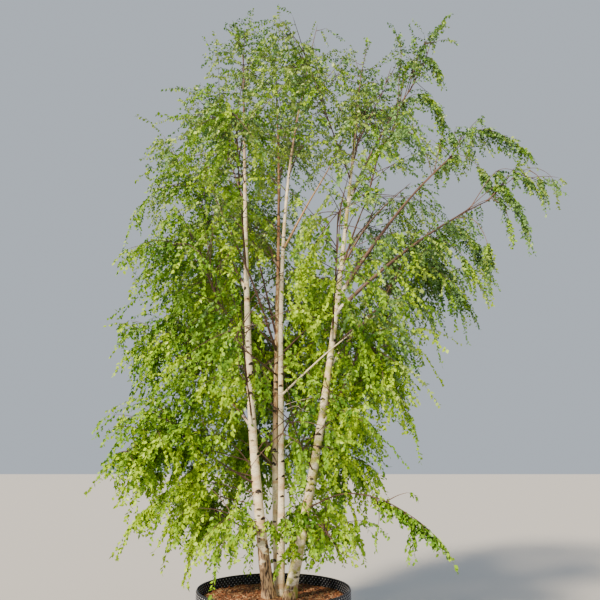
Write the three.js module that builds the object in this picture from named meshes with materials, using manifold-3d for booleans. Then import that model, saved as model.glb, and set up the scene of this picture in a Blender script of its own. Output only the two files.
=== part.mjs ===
// A multi-stemmed silver birch, in fresh spring leaf, in a round nursery container.
// Millimetres, +Z up. The origin is the middle of the container's flat underside.
import * as THREE from "three";
import { mergeVertices } from "three/addons/utils/BufferGeometryUtils.js";
import Module from "manifold-3d";

const wasm = await Module();
wasm.setup();

// Driving dimensions

const GAP = 0.3; // left between two pieces that touch
const SLIVER = 0.25; // faces may shift by this when the slivers that joining leaves are merged
const CLEARANCE = 4; // kept between foliage and any limb that it doesn't grow from
const GOLDEN_ANGLE = THREE.MathUtils.degToRad(137.5); // from one shoot to the next

const POT = {
  radius: 650,
  height: 600,
  wall: 24,
  base: 14,
  relief: 8, // the wall is pressed into an egg-box pattern, this far in and out
  columns: 40,
  rows: 6,
};
const COMPOST = {
  depthBelowRim: 70,
  mound: 14, // how far the middle stands above the edge
  roughness: 9,
  flatRadius: 260, // level patch that the stems rise from
  rings: 3,
  sides: 24,
};
const GROUND = POT.height - COMPOST.depthBelowRim;

// Each stem runs from its foot to its tip. lean is how far it moves sideways for each unit of
// height, as it leaves the ground and as it reaches its tip, along X and along Y.
const STEMS = [
  {
    name: "stem_left",
    foot: [-38, -42],
    tip: [-350, -150, 5150],
    footLean: [-0.16, 0],
    tipLean: [-0.04, -0.02],
    radius: 50,
    tipRadius: 8,
    bark: "white_bark",
  },
  {
    name: "stem_middle_back",
    foot: [32, 150],
    tip: [-30, 330, 5300],
    footLean: [-0.06, 0.02],
    tipLean: [-0.05, 0.05],
    radius: 33,
    tipRadius: 8,
    bark: "tan_bark",
  },
  {
    name: "stem_middle_front",
    foot: [52, 48],
    tip: [240, 20, 5300],
    footLean: [0.022, 0],
    tipLean: [0.2, -0.02],
    radius: 35,
    tipRadius: 8,
    bark: "white_bark",
  },
  {
    name: "stem_right",
    foot: [128, -62],
    tip: [800, -70, 5000],
    footLean: [0.235, 0],
    tipLean: [0.12, 0.02],
    radius: 49,
    tipRadius: 9,
    bark: "white_bark",
  },
];
const STEM = { sides: 8, rings: 11, level: true, taperPower: 0.9 };
const FLARE = { share: 0.34, height: 110 }; // the foot swells by this share, fading over this height

// Tiers of foliage round the clump, from the ground up. first is the bearing of the first mass,
// in degrees from +X. height and reach place the middle of each mass, and lean makes the tier
// reach further to the right (+X) or, below zero, to the left. spread and depth are half the
// width and half the height of a mass. rise is how far the limb climbs before it gets there, and
// lift is where its leading shoot ends: up above 0, hanging below 0. A mass with a bough hangs
// on the bough's tip, and any other grows straight from its stem.
const TIERS = [
  {
    name: "skirt",
    count: 4,
    first: 150,
    height: 1150,
    reach: 610,
    lean: -0.45,
    spread: 430,
    depth: 420,
    rise: 60,
    lift: -0.6,
    bough: false,
  },
  {
    name: "low",
    count: 4,
    first: 195,
    height: 1790,
    reach: 760,
    lean: -0.38,
    spread: 560,
    depth: 480,
    rise: 250,
    lift: -0.45,
    bough: false,
  },
  {
    name: "middle",
    count: 5,
    first: 180,
    height: 2560,
    reach: 910,
    lean: -0.06,
    spread: 610,
    depth: 500,
    rise: 560,
    lift: -0.3,
    bough: true,
  },
  {
    name: "broad",
    count: 5,
    first: 0,
    height: 3380,
    reach: 1080,
    lean: 0.17,
    spread: 640,
    depth: 520,
    rise: 800,
    lift: 0,
    bough: true,
  },
  {
    name: "shoulder",
    count: 5,
    first: 178,
    height: 4220,
    reach: 1070,
    lean: 0.12,
    spread: 620,
    depth: 520,
    rise: 900,
    lift: 0.25,
    bough: true,
  },
  {
    name: "head",
    count: 4,
    first: 185,
    height: 5080,
    reach: 800,
    lean: 0.14,
    spread: 540,
    depth: 500,
    rise: 800,
    lift: 0.45,
    bough: false,
  },
];
const CLUMP_AXIS = [60, 20]; // the tiers stand round this line
// How much the masses of one tier differ: shares of the step between them, of their reach and of
// their depth.
const VARIETY = { bearing: 0.2, reach: 0.1, height: 0.5 };
const LOWEST_FORK = GROUND + 450;
const FORK_STEP = 75; // how much higher each limb of a tier forks than the one before it
// A stem's own tip carries on as a leader: how far its mass stands from the tip.
const LEADERS = { rise: 450, spread: 400, depth: 640, lift: 0.95, drift: [0.9, 0.4] };
// Boughs that reach out of the even crown, each to its own place.
const OUTLIERS = [
  {
    name: "far_right",
    stem: "stem_right",
    centre: [2330, -60, 4290],
    fork: 2950,
    spread: 500,
    depth: 360,
    lift: -0.1,
    bough: true,
  },
  {
    name: "upper_right",
    stem: "stem_right",
    centre: [1960, 190, 4900],
    fork: 3080,
    spread: 480,
    depth: 330,
    lift: -0.1,
    bough: true,
  },
  {
    name: "top_right",
    stem: "stem_right",
    centre: [1540, 40, 5700],
    fork: 4050,
    spread: 370,
    depth: 560,
    lift: 0.9,
    bough: true,
  },
  {
    name: "inner_right",
    stem: "stem_right",
    centre: [1130, 150, 5500],
    fork: 4600,
    spread: 380,
    depth: 520,
    lift: 0.9,
    bough: false,
  },
  {
    name: "trailing",
    stem: "stem_right",
    centre: [1140, -430, 1120],
    fork: 1230,
    spread: 400,
    depth: 400,
    lift: -0.85,
    bough: false,
  },
];

// stopsAt is how far out in its mass a bough ends, 1 on the mass's wall.
const BOUGH = {
  sides: 5,
  rings: 5,
  tipRadius: 7,
  taper: 0.011,
  arch: 0.11,
  leastRadius: 11,
  stopsAt: 0.78,
};
const LEADER_SHOOT = { sides: 3, rings: 4, radius: 10, tipRadius: 5 };
// A side shoot leaves the leader this much sooner than the nearest point, and no sooner than
// earliest, or earliestOnStem where the leader grows straight from a stem.
const SIDE_SHOOT = {
  sides: 3,
  rings: 1,
  radius: 8,
  tipRadius: 5,
  count: 5,
  sooner: 0.12,
  earliest: 0.08,
  earliestOnStem: 0.3,
};
// Each leaf here stands for a spray of real ones. widest is where along it the leaf is broadest.
const SPRAY = { perShoot: 2, length: 340, width: 240, thickness: 8, widest: 0.45, sunk: 2 };
// The pull of the shoot, of the side and of gravity on the heading of a spray, and its twist.
const SPRAY_HEADING = { along: 0.5, alongAtEnd: 1.2, aside: 0.75, down: 0.9, less: 0.6, twist: 1.4 };
const SPRAY_SIZES = [1.05, 0.85, 0.65, 0.5]; // the largest that fits is used
const LEADER_ENDS = 0.72; // how far out in its ellipsoid a mass's leading shoot ends
const SHOOTS_END = 0.62; // how far out its side shoots end
const SPRAYS_END = 1.05; // how far out its sprays may reach

const COLOURS = {
  pot_plastic: { color: 0x1d1f22, roughness: 0.55 },
  compost: { color: 0x6e4a34, roughness: 0.95 },
  white_bark: { color: 0xddd5c5, roughness: 0.75 },
  tan_bark: { color: 0xb08b6c, roughness: 0.8 },
  dark_bark: { color: 0x4b3a31, roughness: 0.8 },
  foliage: { color: 0x86a52c, roughness: 0.6 },
};

// Helpers

const UP = new THREE.Vector3(0, 0, 1);
const point = (list) => new THREE.Vector3(...list);
const mix = (a, b, t) => a.clone().lerp(b, t);

/** A number from 0 to 1 that depends only on the two whole numbers given. */
function chance(seed, step) {
  const wave = Math.sin(seed * 12.9898 + step * 78.233) * 43758.5453;
  return wave - Math.floor(wave);
}

/** The closed geometry as a solid that can be joined and cut. */
function solidOf(geometry) {
  const bare = new THREE.BufferGeometry();
  bare.setAttribute("position", geometry.getAttribute("position"));
  bare.setIndex(geometry.index);
  const merged = mergeVertices(bare, 1e-3);
  const mesh = new wasm.Mesh({
    numProp: 3,
    vertProperties: merged.getAttribute("position").array,
    triVerts: new Uint32Array(merged.index.array),
  });
  return new wasm.Manifold(mesh);
}

/** The largest piece of a solid, with any loose scraps dropped. */
function largest(solid) {
  const pieces = solid.decompose();
  return pieces.sort((a, b) => b.volume() - a.volume())[0];
}

/** The solid as a geometry that three.js can draw. */
function geometryOf(solid) {
  const { vertProperties, triVerts } = solid.getMesh();
  const geometry = new THREE.BufferGeometry();
  geometry.setAttribute("position", new THREE.BufferAttribute(vertProperties, 3));
  geometry.setIndex(new THREE.BufferAttribute(triVerts, 1));
  geometry.computeVertexNormals();
  return geometry;
}

/** A point on the straight stretches between the rings of a limb, where its middle really runs. */
function pointInLimb(curve, rings, t) {
  const ring = Math.min(Math.floor(t * rings), rings - 1);
  return curve.getPointAt(ring / rings).lerp(curve.getPointAt((ring + 1) / rings), t * rings - ring);
}

/** True if every corner of the solid passes the test. */
function everyCorner(solid, test) {
  const { vertProperties, numProp } = solid.getMesh();
  for (let i = 0; i < vertProperties.length; i += numProp) {
    if (!test(vertProperties[i], vertProperties[i + 1], vertProperties[i + 2])) return false;
  }
  return true;
}

/** A round limb along a curve: a cylinder whose rings are moved onto it. level keeps rings flat. */
function limb(curve, radiusAt, { sides, rings, level = false }) {
  const geometry = new THREE.CylinderGeometry(1, 1, 1, sides, rings);
  const frames = curve.computeFrenetFrames(rings);
  const position = geometry.getAttribute("position");
  for (let i = 0; i < position.count; i += 1) {
    const t = position.getY(i) + 0.5;
    const ring = Math.round(t * rings);
    const across = level ? new THREE.Vector3(1, 0, 0) : frames.normals[ring].clone();
    const along = level ? UP : frames.tangents[ring];
    const beside = across.clone().cross(along);
    const place = curve
      .getPointAt(t)
      .addScaledVector(across, position.getX(i) * radiusAt(t))
      .addScaledVector(beside, position.getZ(i) * radiusAt(t));
    position.setXYZ(i, place.x, place.y, place.z);
  }
  return solidOf(geometry);
}

// Container and compost

/** The container: a wall pressed into bumps and dips, a plain rim, and a flat base. */
function makePot() {
  const { radius, height, wall, base, relief, columns, rows } = POT;
  const inner = radius - wall;
  const profile = [new THREE.Vector2(0, 0)];
  for (let row = 0; row <= rows; row += 1) profile.push(new THREE.Vector2(radius, (height * row) / rows));
  profile.push(new THREE.Vector2(inner, height), new THREE.Vector2(inner, base), new THREE.Vector2(0, base));
  const geometry = new THREE.LatheGeometry(profile, columns).rotateX(Math.PI / 2);
  const position = geometry.getAttribute("position");
  const pointsAcross = profile.length;
  for (let i = 0; i < position.count; i += 1) {
    const row = (i % pointsAcross) - 1;
    if (row < 1 || row >= rows) continue;
    const column = Math.floor(i / pointsAcross);
    const scale = 1 + ((row + column) % 2 ? relief : -relief) / radius;
    position.setXYZ(i, position.getX(i) * scale, position.getY(i) * scale, position.getZ(i));
  }
  return solidOf(geometry);
}

/** The compost that fills the container, rough on top, with a level patch in the middle. */
function makeCompost() {
  const { mound, roughness, flatRadius, rings, sides } = COMPOST;
  const rim = POT.radius - POT.wall - 2;
  const profile = [new THREE.Vector2(0, POT.base + GAP), new THREE.Vector2(rim, POT.base + GAP)];
  for (let ring = 0; ring <= rings; ring += 1) {
    const share = ring / rings;
    const across = THREE.MathUtils.lerp(rim, flatRadius, share);
    profile.push(new THREE.Vector2(across, GROUND - mound * (1 - share)));
  }
  profile.push(new THREE.Vector2(0, GROUND));
  const geometry = new THREE.LatheGeometry(profile, sides).rotateX(Math.PI / 2);
  const position = geometry.getAttribute("position");
  for (let i = 0; i < position.count; i += 1) {
    const [x, y, z] = [position.getX(i), position.getY(i), position.getZ(i)];
    if (z < GROUND - 2 * mound || Math.hypot(x, y) < flatRadius + 1) continue;
    const ripple = Math.sin(x / 47 + 1.3) * Math.cos(y / 39) + 0.6 * Math.sin((x + 2 * y) / 61);
    position.setZ(i, Math.min(z + (roughness * ripple) / 2, GROUND));
  }
  return solidOf(geometry);
}

// Stems

/** The line that a stem follows from the compost to its tip. */
function stemCurve({ foot, tip, footLean, tipLean }) {
  const start = point([...foot, GROUND + GAP]);
  const end = point(tip);
  const handle = (end.z - start.z) / 3;
  const leaving = start.clone().add(point([footLean[0] * handle, footLean[1] * handle, handle]));
  const arriving = end.clone().sub(point([tipLean[0] * handle, tipLean[1] * handle, handle]));
  return new THREE.CubicBezierCurve3(start, leaving, arriving, end);
}

/** A stem's radius at a share of its length: an even taper, with a flare at the foot. */
function stemRadius(stem, curve, t) {
  const taper = THREE.MathUtils.lerp(stem.radius, stem.tipRadius, t ** STEM.taperPower);
  const height = t * curve.getLength();
  return taper * (1 + FLARE.share * Math.exp(-height / FLARE.height));
}

/** All stems with their curves and solids, and slightly fatter solids to cut their neighbours with. */
function growStems() {
  return STEMS.map((stem) => {
    const curve = stemCurve(stem);
    const radiusAt = (t) => stemRadius(stem, curve, t);
    const solid = limb(curve, radiusAt, STEM);
    const cutter = limb(curve, (t) => radiusAt(t) + GAP, STEM);
    return { ...stem, curve, radiusAt, solid, cutter };
  });
}

/** The share of a stem's length at which it reaches a height. */
function shareAtHeight(stem, height) {
  let [low, high] = [0, 1];
  for (let step = 0; step < 30; step += 1) {
    const middle = (low + high) / 2;
    if (stem.curve.getPointAt(middle).z < height) low = middle;
    else high = middle;
  }
  return (low + high) / 2;
}

// Where the masses of foliage are

/** The stem that stands furthest towards a bearing at a height, which carries what grows that way. */
function carrierFor(stems, bearing, height) {
  const towards = new THREE.Vector3(Math.cos(bearing), Math.sin(bearing), 0);
  const reachOf = (stem) => stem.curve.getPointAt(shareAtHeight(stem, height)).dot(towards);
  return stems.reduce((best, stem) => (reachOf(stem) > reachOf(best) ? stem : best));
}

/** The masses of one tier, evenly round the clump, each with small differences of its own. */
function tierMasses(tier, tierNumber, stems) {
  return Array.from({ length: tier.count }, (_, k) => {
    const seed = 10 * tierNumber + k + 1;
    const turn = (k + VARIETY.bearing * (chance(seed, 1) - 0.5)) / tier.count;
    const bearing = THREE.MathUtils.degToRad(tier.first + 360 * turn);
    const longer = 1 + VARIETY.reach * (chance(seed, 2) - 0.5);
    const reach = tier.reach * (1 + tier.lean * Math.cos(bearing)) * longer;
    const height = tier.height + VARIETY.height * tier.depth * (chance(seed, 3) - 0.5);
    const centre = point([
      CLUMP_AXIS[0] + reach * Math.cos(bearing),
      CLUMP_AXIS[1] + reach * Math.sin(bearing),
      height,
    ]);
    const step = FORK_STEP * (k - tier.count / 2);
    const fork = Math.max(height - tier.rise + step, LOWEST_FORK);
    const { spread, depth, lift, bough } = tier;
    return {
      name: `${tier.name}_${k + 1}`,
      seed,
      stem: carrierFor(stems, bearing, fork),
      fork,
      centre,
      spread,
      depth,
      lift,
      bough,
    };
  });
}

/** The mass at the tip of each stem. */
function leaderMasses(stems) {
  const { rise, spread, depth, lift, drift } = LEADERS;
  return stems.map((stem, k) => {
    const side = point([drift[0] * stem.tipLean[0], drift[1] * stem.tipLean[1], 1]);
    const centre = point(stem.tip).addScaledVector(side, rise);
    const name = stem.name.replace("stem_", "leader_");
    return { name, seed: 80 + k, stem, centre, spread, depth, lift, bough: false };
  });
}

/** Every mass of the crown, with the two lengths that make up its ellipsoid. */
function placeMasses(stems) {
  const outliers = OUTLIERS.map((outlier, k) => ({
    ...outlier,
    seed: 90 + k,
    stem: stems.find((stem) => stem.name === outlier.stem),
    centre: point(outlier.centre),
  }));
  const tiers = TIERS.flatMap((tier, n) => tierMasses(tier, n + 1, stems));
  return [...tiers, ...leaderMasses(stems), ...outliers];
}

/** How far a point is from a mass's middle, 1 on the wall of its ellipsoid. */
function depthIn(mass, x, y, z) {
  const flat = ((x - mass.centre.x) ** 2 + (y - mass.centre.y) ** 2) / mass.spread ** 2;
  return Math.sqrt(flat + ((z - mass.centre.z) / mass.depth) ** 2);
}

/** True where a point is nearer this mass's middle than any other's, by a small margin. */
function keepsToOwnSpace(mass, masses, x, y, z) {
  const squared = (m) => (x - m.centre.x) ** 2 + (y - m.centre.y) ** 2 + (z - m.centre.z) ** 2;
  const own = squared(mass);
  return masses.every((other) => other === mass || own + 2 * CLEARANCE * mass.spread < squared(other));
}

// Boughs and shoots

/** The line of a bough, arching up from its stem and ending just inside its mass. */
function boughCurve(mass) {
  const start = mass.stem.curve.getPointAt(shareAtHeight(mass.stem, mass.fork));
  const along = mass.centre.clone().sub(start).normalize();
  const inset = 1 / Math.hypot(Math.hypot(along.x, along.y) / mass.spread, along.z / mass.depth);
  const end = mass.centre.clone().addScaledVector(along, -BOUGH.stopsAt * inset);
  const arch = BOUGH.arch * start.distanceTo(end);
  const middle = mix(start, end, 0.5).addScaledVector(UP, arch);
  return new THREE.QuadraticBezierCurve3(start, middle, end);
}

/** The bough solid, cut clear of the stem that carries it. */
function growBough(mass) {
  const curve = boughCurve(mass);
  const length = curve.getLength();
  const root = Math.max(BOUGH.tipRadius + BOUGH.taper * length, BOUGH.leastRadius);
  const radiusAt = (t) => THREE.MathUtils.lerp(root, BOUGH.tipRadius, t);
  const whole = limb(curve, radiusAt, BOUGH);
  return { curve, solid: largest(whole.subtract(mass.stem.cutter)) };
}

/** The line of a mass's leading shoot, from where it starts through the middle to its end. */
function leaderCurve(mass) {
  const carrier = mass.bough ? mass.boughPart.curve : mass.stem.curve;
  const start = carrier.getPointAt(mass.onStem ? shareAtHeight(mass.stem, mass.fork) : 1);
  const outward = mass.centre.clone().sub(start).setZ(0);
  if (outward.length() > 0) outward.normalize();
  const steep = Math.abs(mass.lift);
  const end = mass.centre
    .clone()
    .addScaledVector(outward, LEADER_ENDS * mass.spread * Math.sqrt(1 - steep ** 2))
    .addScaledVector(UP, LEADER_ENDS * mass.depth * mass.lift);
  const middle = mass.centre.clone().addScaledVector(UP, 0.25 * mass.depth * (1 - steep));
  return new THREE.CatmullRomCurve3([start, mix(start, middle, 0.55), middle, end]);
}

/** Leading shoot of a mass: a thin three-sided twig, cut clear of the limb that it rises from. */
function growLeader(mass) {
  const curve = leaderCurve(mass);
  const { radius, tipRadius } = LEADER_SHOOT;
  const whole = limb(curve, (t) => THREE.MathUtils.lerp(radius, tipRadius, t), LEADER_SHOOT);
  if (mass.onStem) return { curve, solid: largest(whole.subtract(mass.stem.cutter)) };
  const facing = mass.bough ? mass.boughPart.curve.getTangentAt(1) : UP;
  return { curve, solid: whole.trimByPlane(facing.toArray(), curve.getPointAt(0).dot(facing) + GAP) };
}

/** Where side shoot number k of a mass ends: the shoots share out the space evenly between them. */
function shootEnd(mass, masses, k) {
  const polar = Math.acos(1 - (2 * k + 1) / SIDE_SHOOT.count);
  const bearing = GOLDEN_ANGLE * k + 2 * Math.PI * chance(mass.seed, 4);
  const { x, y, z } = new THREE.Vector3().setFromSphericalCoords(SHOOTS_END, polar, bearing);
  const outward = new THREE.Vector3(x * mass.spread, z * mass.spread, y * mass.depth);
  const end = mass.centre.clone().add(outward);
  while (!keepsToOwnSpace(mass, masses, end.x, end.y, end.z)) end.lerp(mass.centre, 0.1);
  return end;
}

/** Side shoot number k: a straight line that leaves the leader a little before the nearest point. */
function shootCurve(mass, masses, k) {
  const { curve } = mass.leader;
  const end = shootEnd(mass, masses, k);
  const steps = Array.from({ length: 21 }, (_, i) => i / 20);
  const distance = (t) => curve.getPointAt(t).distanceTo(end);
  const nearest = steps.reduce((best, t) => (distance(t) < distance(best) ? t : best));
  const { sooner, earliest, earliestOnStem } = SIDE_SHOOT;
  const leaves = Math.max(nearest - sooner, mass.onStem ? earliestOnStem : earliest);
  return new THREE.LineCurve3(pointInLimb(curve, LEADER_SHOOT.rings, leaves), end);
}

/** One flat, pointed leaf that stands for a spray: an octahedron drawn out along its heading. */
function growSpray(root, heading, turn, size) {
  const { length, width, thickness, widest, sunk } = SPRAY;
  const geometry = new THREE.OctahedronGeometry(1);
  const position = geometry.getAttribute("position");
  for (let i = 0; i < position.count; i += 1) {
    const y = position.getY(i);
    const along = THREE.MathUtils.lerp(widest, y > 0 ? 1 : 0, Math.abs(y));
    const aside = (position.getX(i) * size * width) / 2;
    position.setXYZ(i, aside, along * size * length - sunk, (position.getZ(i) * thickness) / 2);
  }
  const across = heading.clone().cross(UP).normalize().applyAxisAngle(heading, turn);
  geometry.applyMatrix4(new THREE.Matrix4().makeBasis(across, heading, across.clone().cross(heading)));
  geometry.translate(root.x, root.y, root.z);
  const merged = mergeVertices(new THREE.BufferGeometry().setAttribute("position", position), 1e-3);
  return solidOf(merged);
}

/** Where the sprays of a side shoot are: on alternate sides of it, and one at its end. */
function sprayPlaces(curve, seed) {
  const count = SPRAY.perShoot;
  return Array.from({ length: count + 1 }, (_, j) => {
    const atEnd = j === count;
    const t = atEnd ? 0.97 : 0.35 + (0.55 * (j + 0.5)) / count;
    const along = curve.getTangentAt(t);
    const aside = along.clone().cross(UP).normalize().multiplyScalar(j % 2 ? 1 : -1);
    const heading = along.clone().multiplyScalar(atEnd ? SPRAY_HEADING.alongAtEnd : SPRAY_HEADING.along);
    if (!atEnd) heading.addScaledVector(aside, SPRAY_HEADING.aside);
    heading.addScaledVector(UP, SPRAY_HEADING.less * chance(seed, j) - SPRAY_HEADING.down);
    const turn = SPRAY_HEADING.twist * (chance(seed, j + 40) - 0.5);
    return { root: curve.getPointAt(t), heading: heading.normalize(), turn };
  });
}

/** True if two boxes, grown by the clearance, meet. */
function boxesMeet(a, b) {
  return a.min.every((low, i) => low - CLEARANCE < b.max[i] && b.min[i] - CLEARANCE < a.max[i]);
}

/** Fuses a mass: its leader, and each shoot and spray that stays in its space and off the limbs. */
function growMass(mass, masses, obstacles) {
  const others = obstacles.filter((obstacle) => obstacle.solid !== mass.leader.solid);
  const inSpace = (x, y, z) =>
    depthIn(mass, x, y, z) < SPRAYS_END && keepsToOwnSpace(mass, masses, x, y, z);
  const pieces = [mass.leader.solid];
  const fits = (solid, carrier) => {
    const box = solid.boundingBox();
    const clearOf = (o) => !boxesMeet(box, o.box) || solid.minGap(o.solid, CLEARANCE) >= CLEARANCE;
    const clearInside = (piece) => piece === carrier || solid.minGap(piece, CLEARANCE) >= CLEARANCE;
    return everyCorner(solid, inSpace) && others.every(clearOf) && pieces.every(clearInside);
  };
  const addSpray = ({ root, heading, turn }, carrier) => {
    const sizes = SPRAY_SIZES.map((size) => growSpray(root, heading, turn, size));
    const largestThatFits = sizes.find((spray) => fits(spray, carrier));
    if (largestThatFits) pieces.push(largestThatFits);
  };
  for (let k = 0; k < SIDE_SHOOT.count; k += 1) {
    const curve = shootCurve(mass, masses, k);
    const { radius, tipRadius } = SIDE_SHOOT;
    const shoot = limb(curve, (t) => THREE.MathUtils.lerp(radius, tipRadius, t), SIDE_SHOOT);
    if (!fits(shoot, mass.leader.solid)) continue;
    pieces.push(shoot);
    sprayPlaces(curve, mass.seed * 100 + k).forEach((place) => addSpray(place, shoot));
  }
  const { curve, solid } = mass.leader;
  const root = pointInLimb(curve, LEADER_SHOOT.rings, 0.98);
  addSpray({ root, heading: curve.getTangentAt(0.98), turn: chance(mass.seed, 7) }, solid);
  return largest(wasm.Manifold.union(pieces).asOriginal().simplify(SLIVER));
}

// The whole plant

const plant = new THREE.Group();

/** Adds one named solid to the plant, in its own material. */
function addPiece(name, finish, solid) {
  const material = new THREE.MeshStandardMaterial({ metalness: 0, ...COLOURS[finish] });
  const mesh = new THREE.Mesh(geometryOf(solid), material);
  mesh.name = name;
  plant.add(mesh);
}

addPiece("pot", "pot_plastic", makePot());
addPiece("compost", "compost", makeCompost());

const stems = growStems();
stems.forEach((stem) => addPiece(stem.name, stem.bark, stem.solid));

const masses = placeMasses(stems);
masses.forEach((mass) => {
  mass.onStem = Boolean(mass.fork) && !mass.bough;
  if (mass.bough) mass.boughPart = growBough(mass);
  mass.leader = growLeader(mass);
});

const obstacles = [
  ...stems.map((stem) => stem.solid),
  ...masses.filter((mass) => mass.bough).map((mass) => mass.boughPart.solid),
  ...masses.map((mass) => mass.leader.solid),
].map((solid) => ({ solid, box: solid.boundingBox() }));

masses.forEach((mass) => {
  if (mass.bough) addPiece(`bough_${mass.name}`, "dark_bark", mass.boughPart.solid);
  addPiece(`foliage_${mass.name}`, "foliage", growMass(mass, masses, obstacles));
});

export default plant;
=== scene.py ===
"""A potted multi-stem silver birch in fresh spring leaf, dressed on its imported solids.

The stems, boughs and masses of foliage are placed by the rule that the solids were grown by, from
the same driving dimensions, and the rule is carried on to finer shoots, twigs and leaves. Metres,
+Z up. The origin is the middle of the container's flat underside.
"""

import logging
import math
from collections.abc import Callable
from dataclasses import dataclass
from enum import Enum
from functools import partial
from typing import ClassVar

import bpy
import numpy as np
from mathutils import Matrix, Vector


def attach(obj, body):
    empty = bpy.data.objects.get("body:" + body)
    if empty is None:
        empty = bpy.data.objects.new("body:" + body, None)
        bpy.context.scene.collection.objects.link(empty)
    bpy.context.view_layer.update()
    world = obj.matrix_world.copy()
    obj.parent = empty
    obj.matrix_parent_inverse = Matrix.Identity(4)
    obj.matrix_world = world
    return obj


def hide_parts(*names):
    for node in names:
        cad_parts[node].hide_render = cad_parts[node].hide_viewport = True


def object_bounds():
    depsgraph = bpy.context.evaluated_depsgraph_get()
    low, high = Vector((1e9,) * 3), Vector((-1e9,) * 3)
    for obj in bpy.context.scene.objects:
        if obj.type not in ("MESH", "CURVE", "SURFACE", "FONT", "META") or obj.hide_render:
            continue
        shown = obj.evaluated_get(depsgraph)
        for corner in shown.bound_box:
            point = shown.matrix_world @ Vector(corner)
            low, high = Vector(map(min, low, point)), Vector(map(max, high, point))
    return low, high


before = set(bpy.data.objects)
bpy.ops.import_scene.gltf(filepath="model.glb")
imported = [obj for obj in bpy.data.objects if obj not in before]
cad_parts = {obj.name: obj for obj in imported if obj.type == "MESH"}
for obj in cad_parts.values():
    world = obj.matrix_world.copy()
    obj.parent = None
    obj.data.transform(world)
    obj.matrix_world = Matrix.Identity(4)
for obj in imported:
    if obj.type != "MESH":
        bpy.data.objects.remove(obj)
CAD_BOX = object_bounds()

log = logging.getLogger("birch")

Array = np.ndarray
Triple = tuple[float, float, float]
Pair = tuple[float, float]
Add = Callable[..., bpy.types.Node]
Socket = bpy.types.NodeSocket
Material = bpy.types.Material
Piece = bpy.types.Object

UP = np.array([0.0, 0.0, 1.0])
BODY = "root"
MM = 0.001
GOLDEN_ANGLE = math.radians(137.5)
GROUND = 0.5303  # the level of the compost at the stems
CORNER_NUMBERS = np.array([1.0, 57.0, 113.0])  # what tells the corners of a cell of noise apart
ALMOST_ONE = 0.999  # the last share of a line that still has a stretch after it


# Numbers and lines


def chance(seed: float | Array, step: float | Array) -> float | Array:
    """Gives a number from 0 to 1 that depends only on the two given, as for the solids."""
    wave = np.sin(seed * 12.9898 + step * 78.233) * 43758.5453
    return wave - np.floor(wave)


def unit(vectors: Array) -> Array:
    """Scales vectors, with x, y and z on the last axis, to a length of one."""
    return vectors / np.maximum(np.linalg.norm(vectors, axis=-1, keepdims=True), 1e-9)


def smooth_noise(points: Array, seed: float) -> Array:
    """Gives smooth noise that repeats nowhere near, with cells one wide.

    Args:
        points: Places, with x, y and z on the last axis.
        seed: A number that picks the pattern.

    Returns:
        A value from -1 to 1 for each place.
    """
    cell = np.floor(points)
    share = points - cell
    share = share * share * (3 - 2 * share)
    total = np.zeros(points.shape[:-1])
    for corner in np.ndindex(2, 2, 2):
        weight = np.prod(np.where(corner, share, 1 - share), axis=-1)
        corner_number = (cell + corner) @ CORNER_NUMBERS
        total += weight * chance(corner_number, seed)
    return 2 * total - 1


class Line:
    """A line through space, with places on it given as shares of its length."""

    def __init__(self, points: Array) -> None:
        """Keeps the points, which lie close together, and their distances along the line."""
        self.points = points
        steps = np.linalg.norm(np.diff(points, axis=0), axis=1)
        self.distances = np.concatenate([[0.0], np.cumsum(steps)])
        self.length = float(self.distances[-1])

    def at(self, shares: float | Array) -> Array:
        """Finds the points at one share of the line's length or at several."""
        where = np.asarray(shares) * self.length
        axes = [np.interp(where, self.distances, self.points[:, axis]) for axis in range(3)]
        return np.stack(axes, axis=-1)

    def share_at_height(self, height: float) -> float:
        """Finds the share of its length at which a rising line reaches a height."""
        return float(np.interp(height, self.points[:, 2], self.distances) / self.length)


def bezier(*corners: Array, steps: int = 240) -> Line:
    """Makes a Bezier line from three or four corners.

    Args:
        corners: The start, the pulling corners and the end.
        steps: How many stretches the line is cut into.

    Returns:
        The line.
    """
    share = np.linspace(0, 1, steps + 1)[:, None]
    rows = [np.repeat(corner[None, :], steps + 1, axis=0) for corner in corners]
    while len(rows) > 1:
        rows = [a + (b - a) * share for a, b in zip(rows, rows[1:])]
    return Line(rows[0])


def spline(knots: list[Array], steps: int = 60) -> Line:
    """Makes a centripetal spline through its knots.

    Args:
        knots: The points that the line passes through.
        steps: How many stretches lie between two knots.

    Returns:
        The line.
    """
    ends = [2 * knots[0] - knots[1], *knots, 2 * knots[-1] - knots[-2]]
    share = np.linspace(0, 1, steps, endpoint=False)[:, None]
    parts = []
    for before, start, end, after in zip(ends, ends[1:], ends[2:], ends[3:]):
        first, middle, last = (
            math.sqrt(np.linalg.norm(b - a)) for a, b in ((before, start), (start, end), (end, after))
        )
        leaving = (start - before) / first - (end - before) / (first + middle) + (end - start) / middle
        arriving = (end - start) / middle - (after - start) / (middle + last) + (after - end) / last
        leaving, arriving = leaving * middle, arriving * middle
        square = -3 * start + 3 * end - 2 * leaving - arriving
        cube = 2 * start - 2 * end + leaving + arriving
        parts.append(start + leaving * share + square * share**2 + cube * share**3)
    return Line(np.concatenate([*parts, knots[-1][None, :]]))


def bowed_lines(starts: Array, middles: Array, ends: Array, points: int) -> Array:
    """Draws a line of so many points from each start, pulled to its middle, to each end."""
    share = np.linspace(0, 1, points)[None, :, None]
    return (
        starts[:, None] * (1 - share) ** 2
        + 2 * middles[:, None] * share * (1 - share)
        + ends[:, None] * share**2
    )


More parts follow.
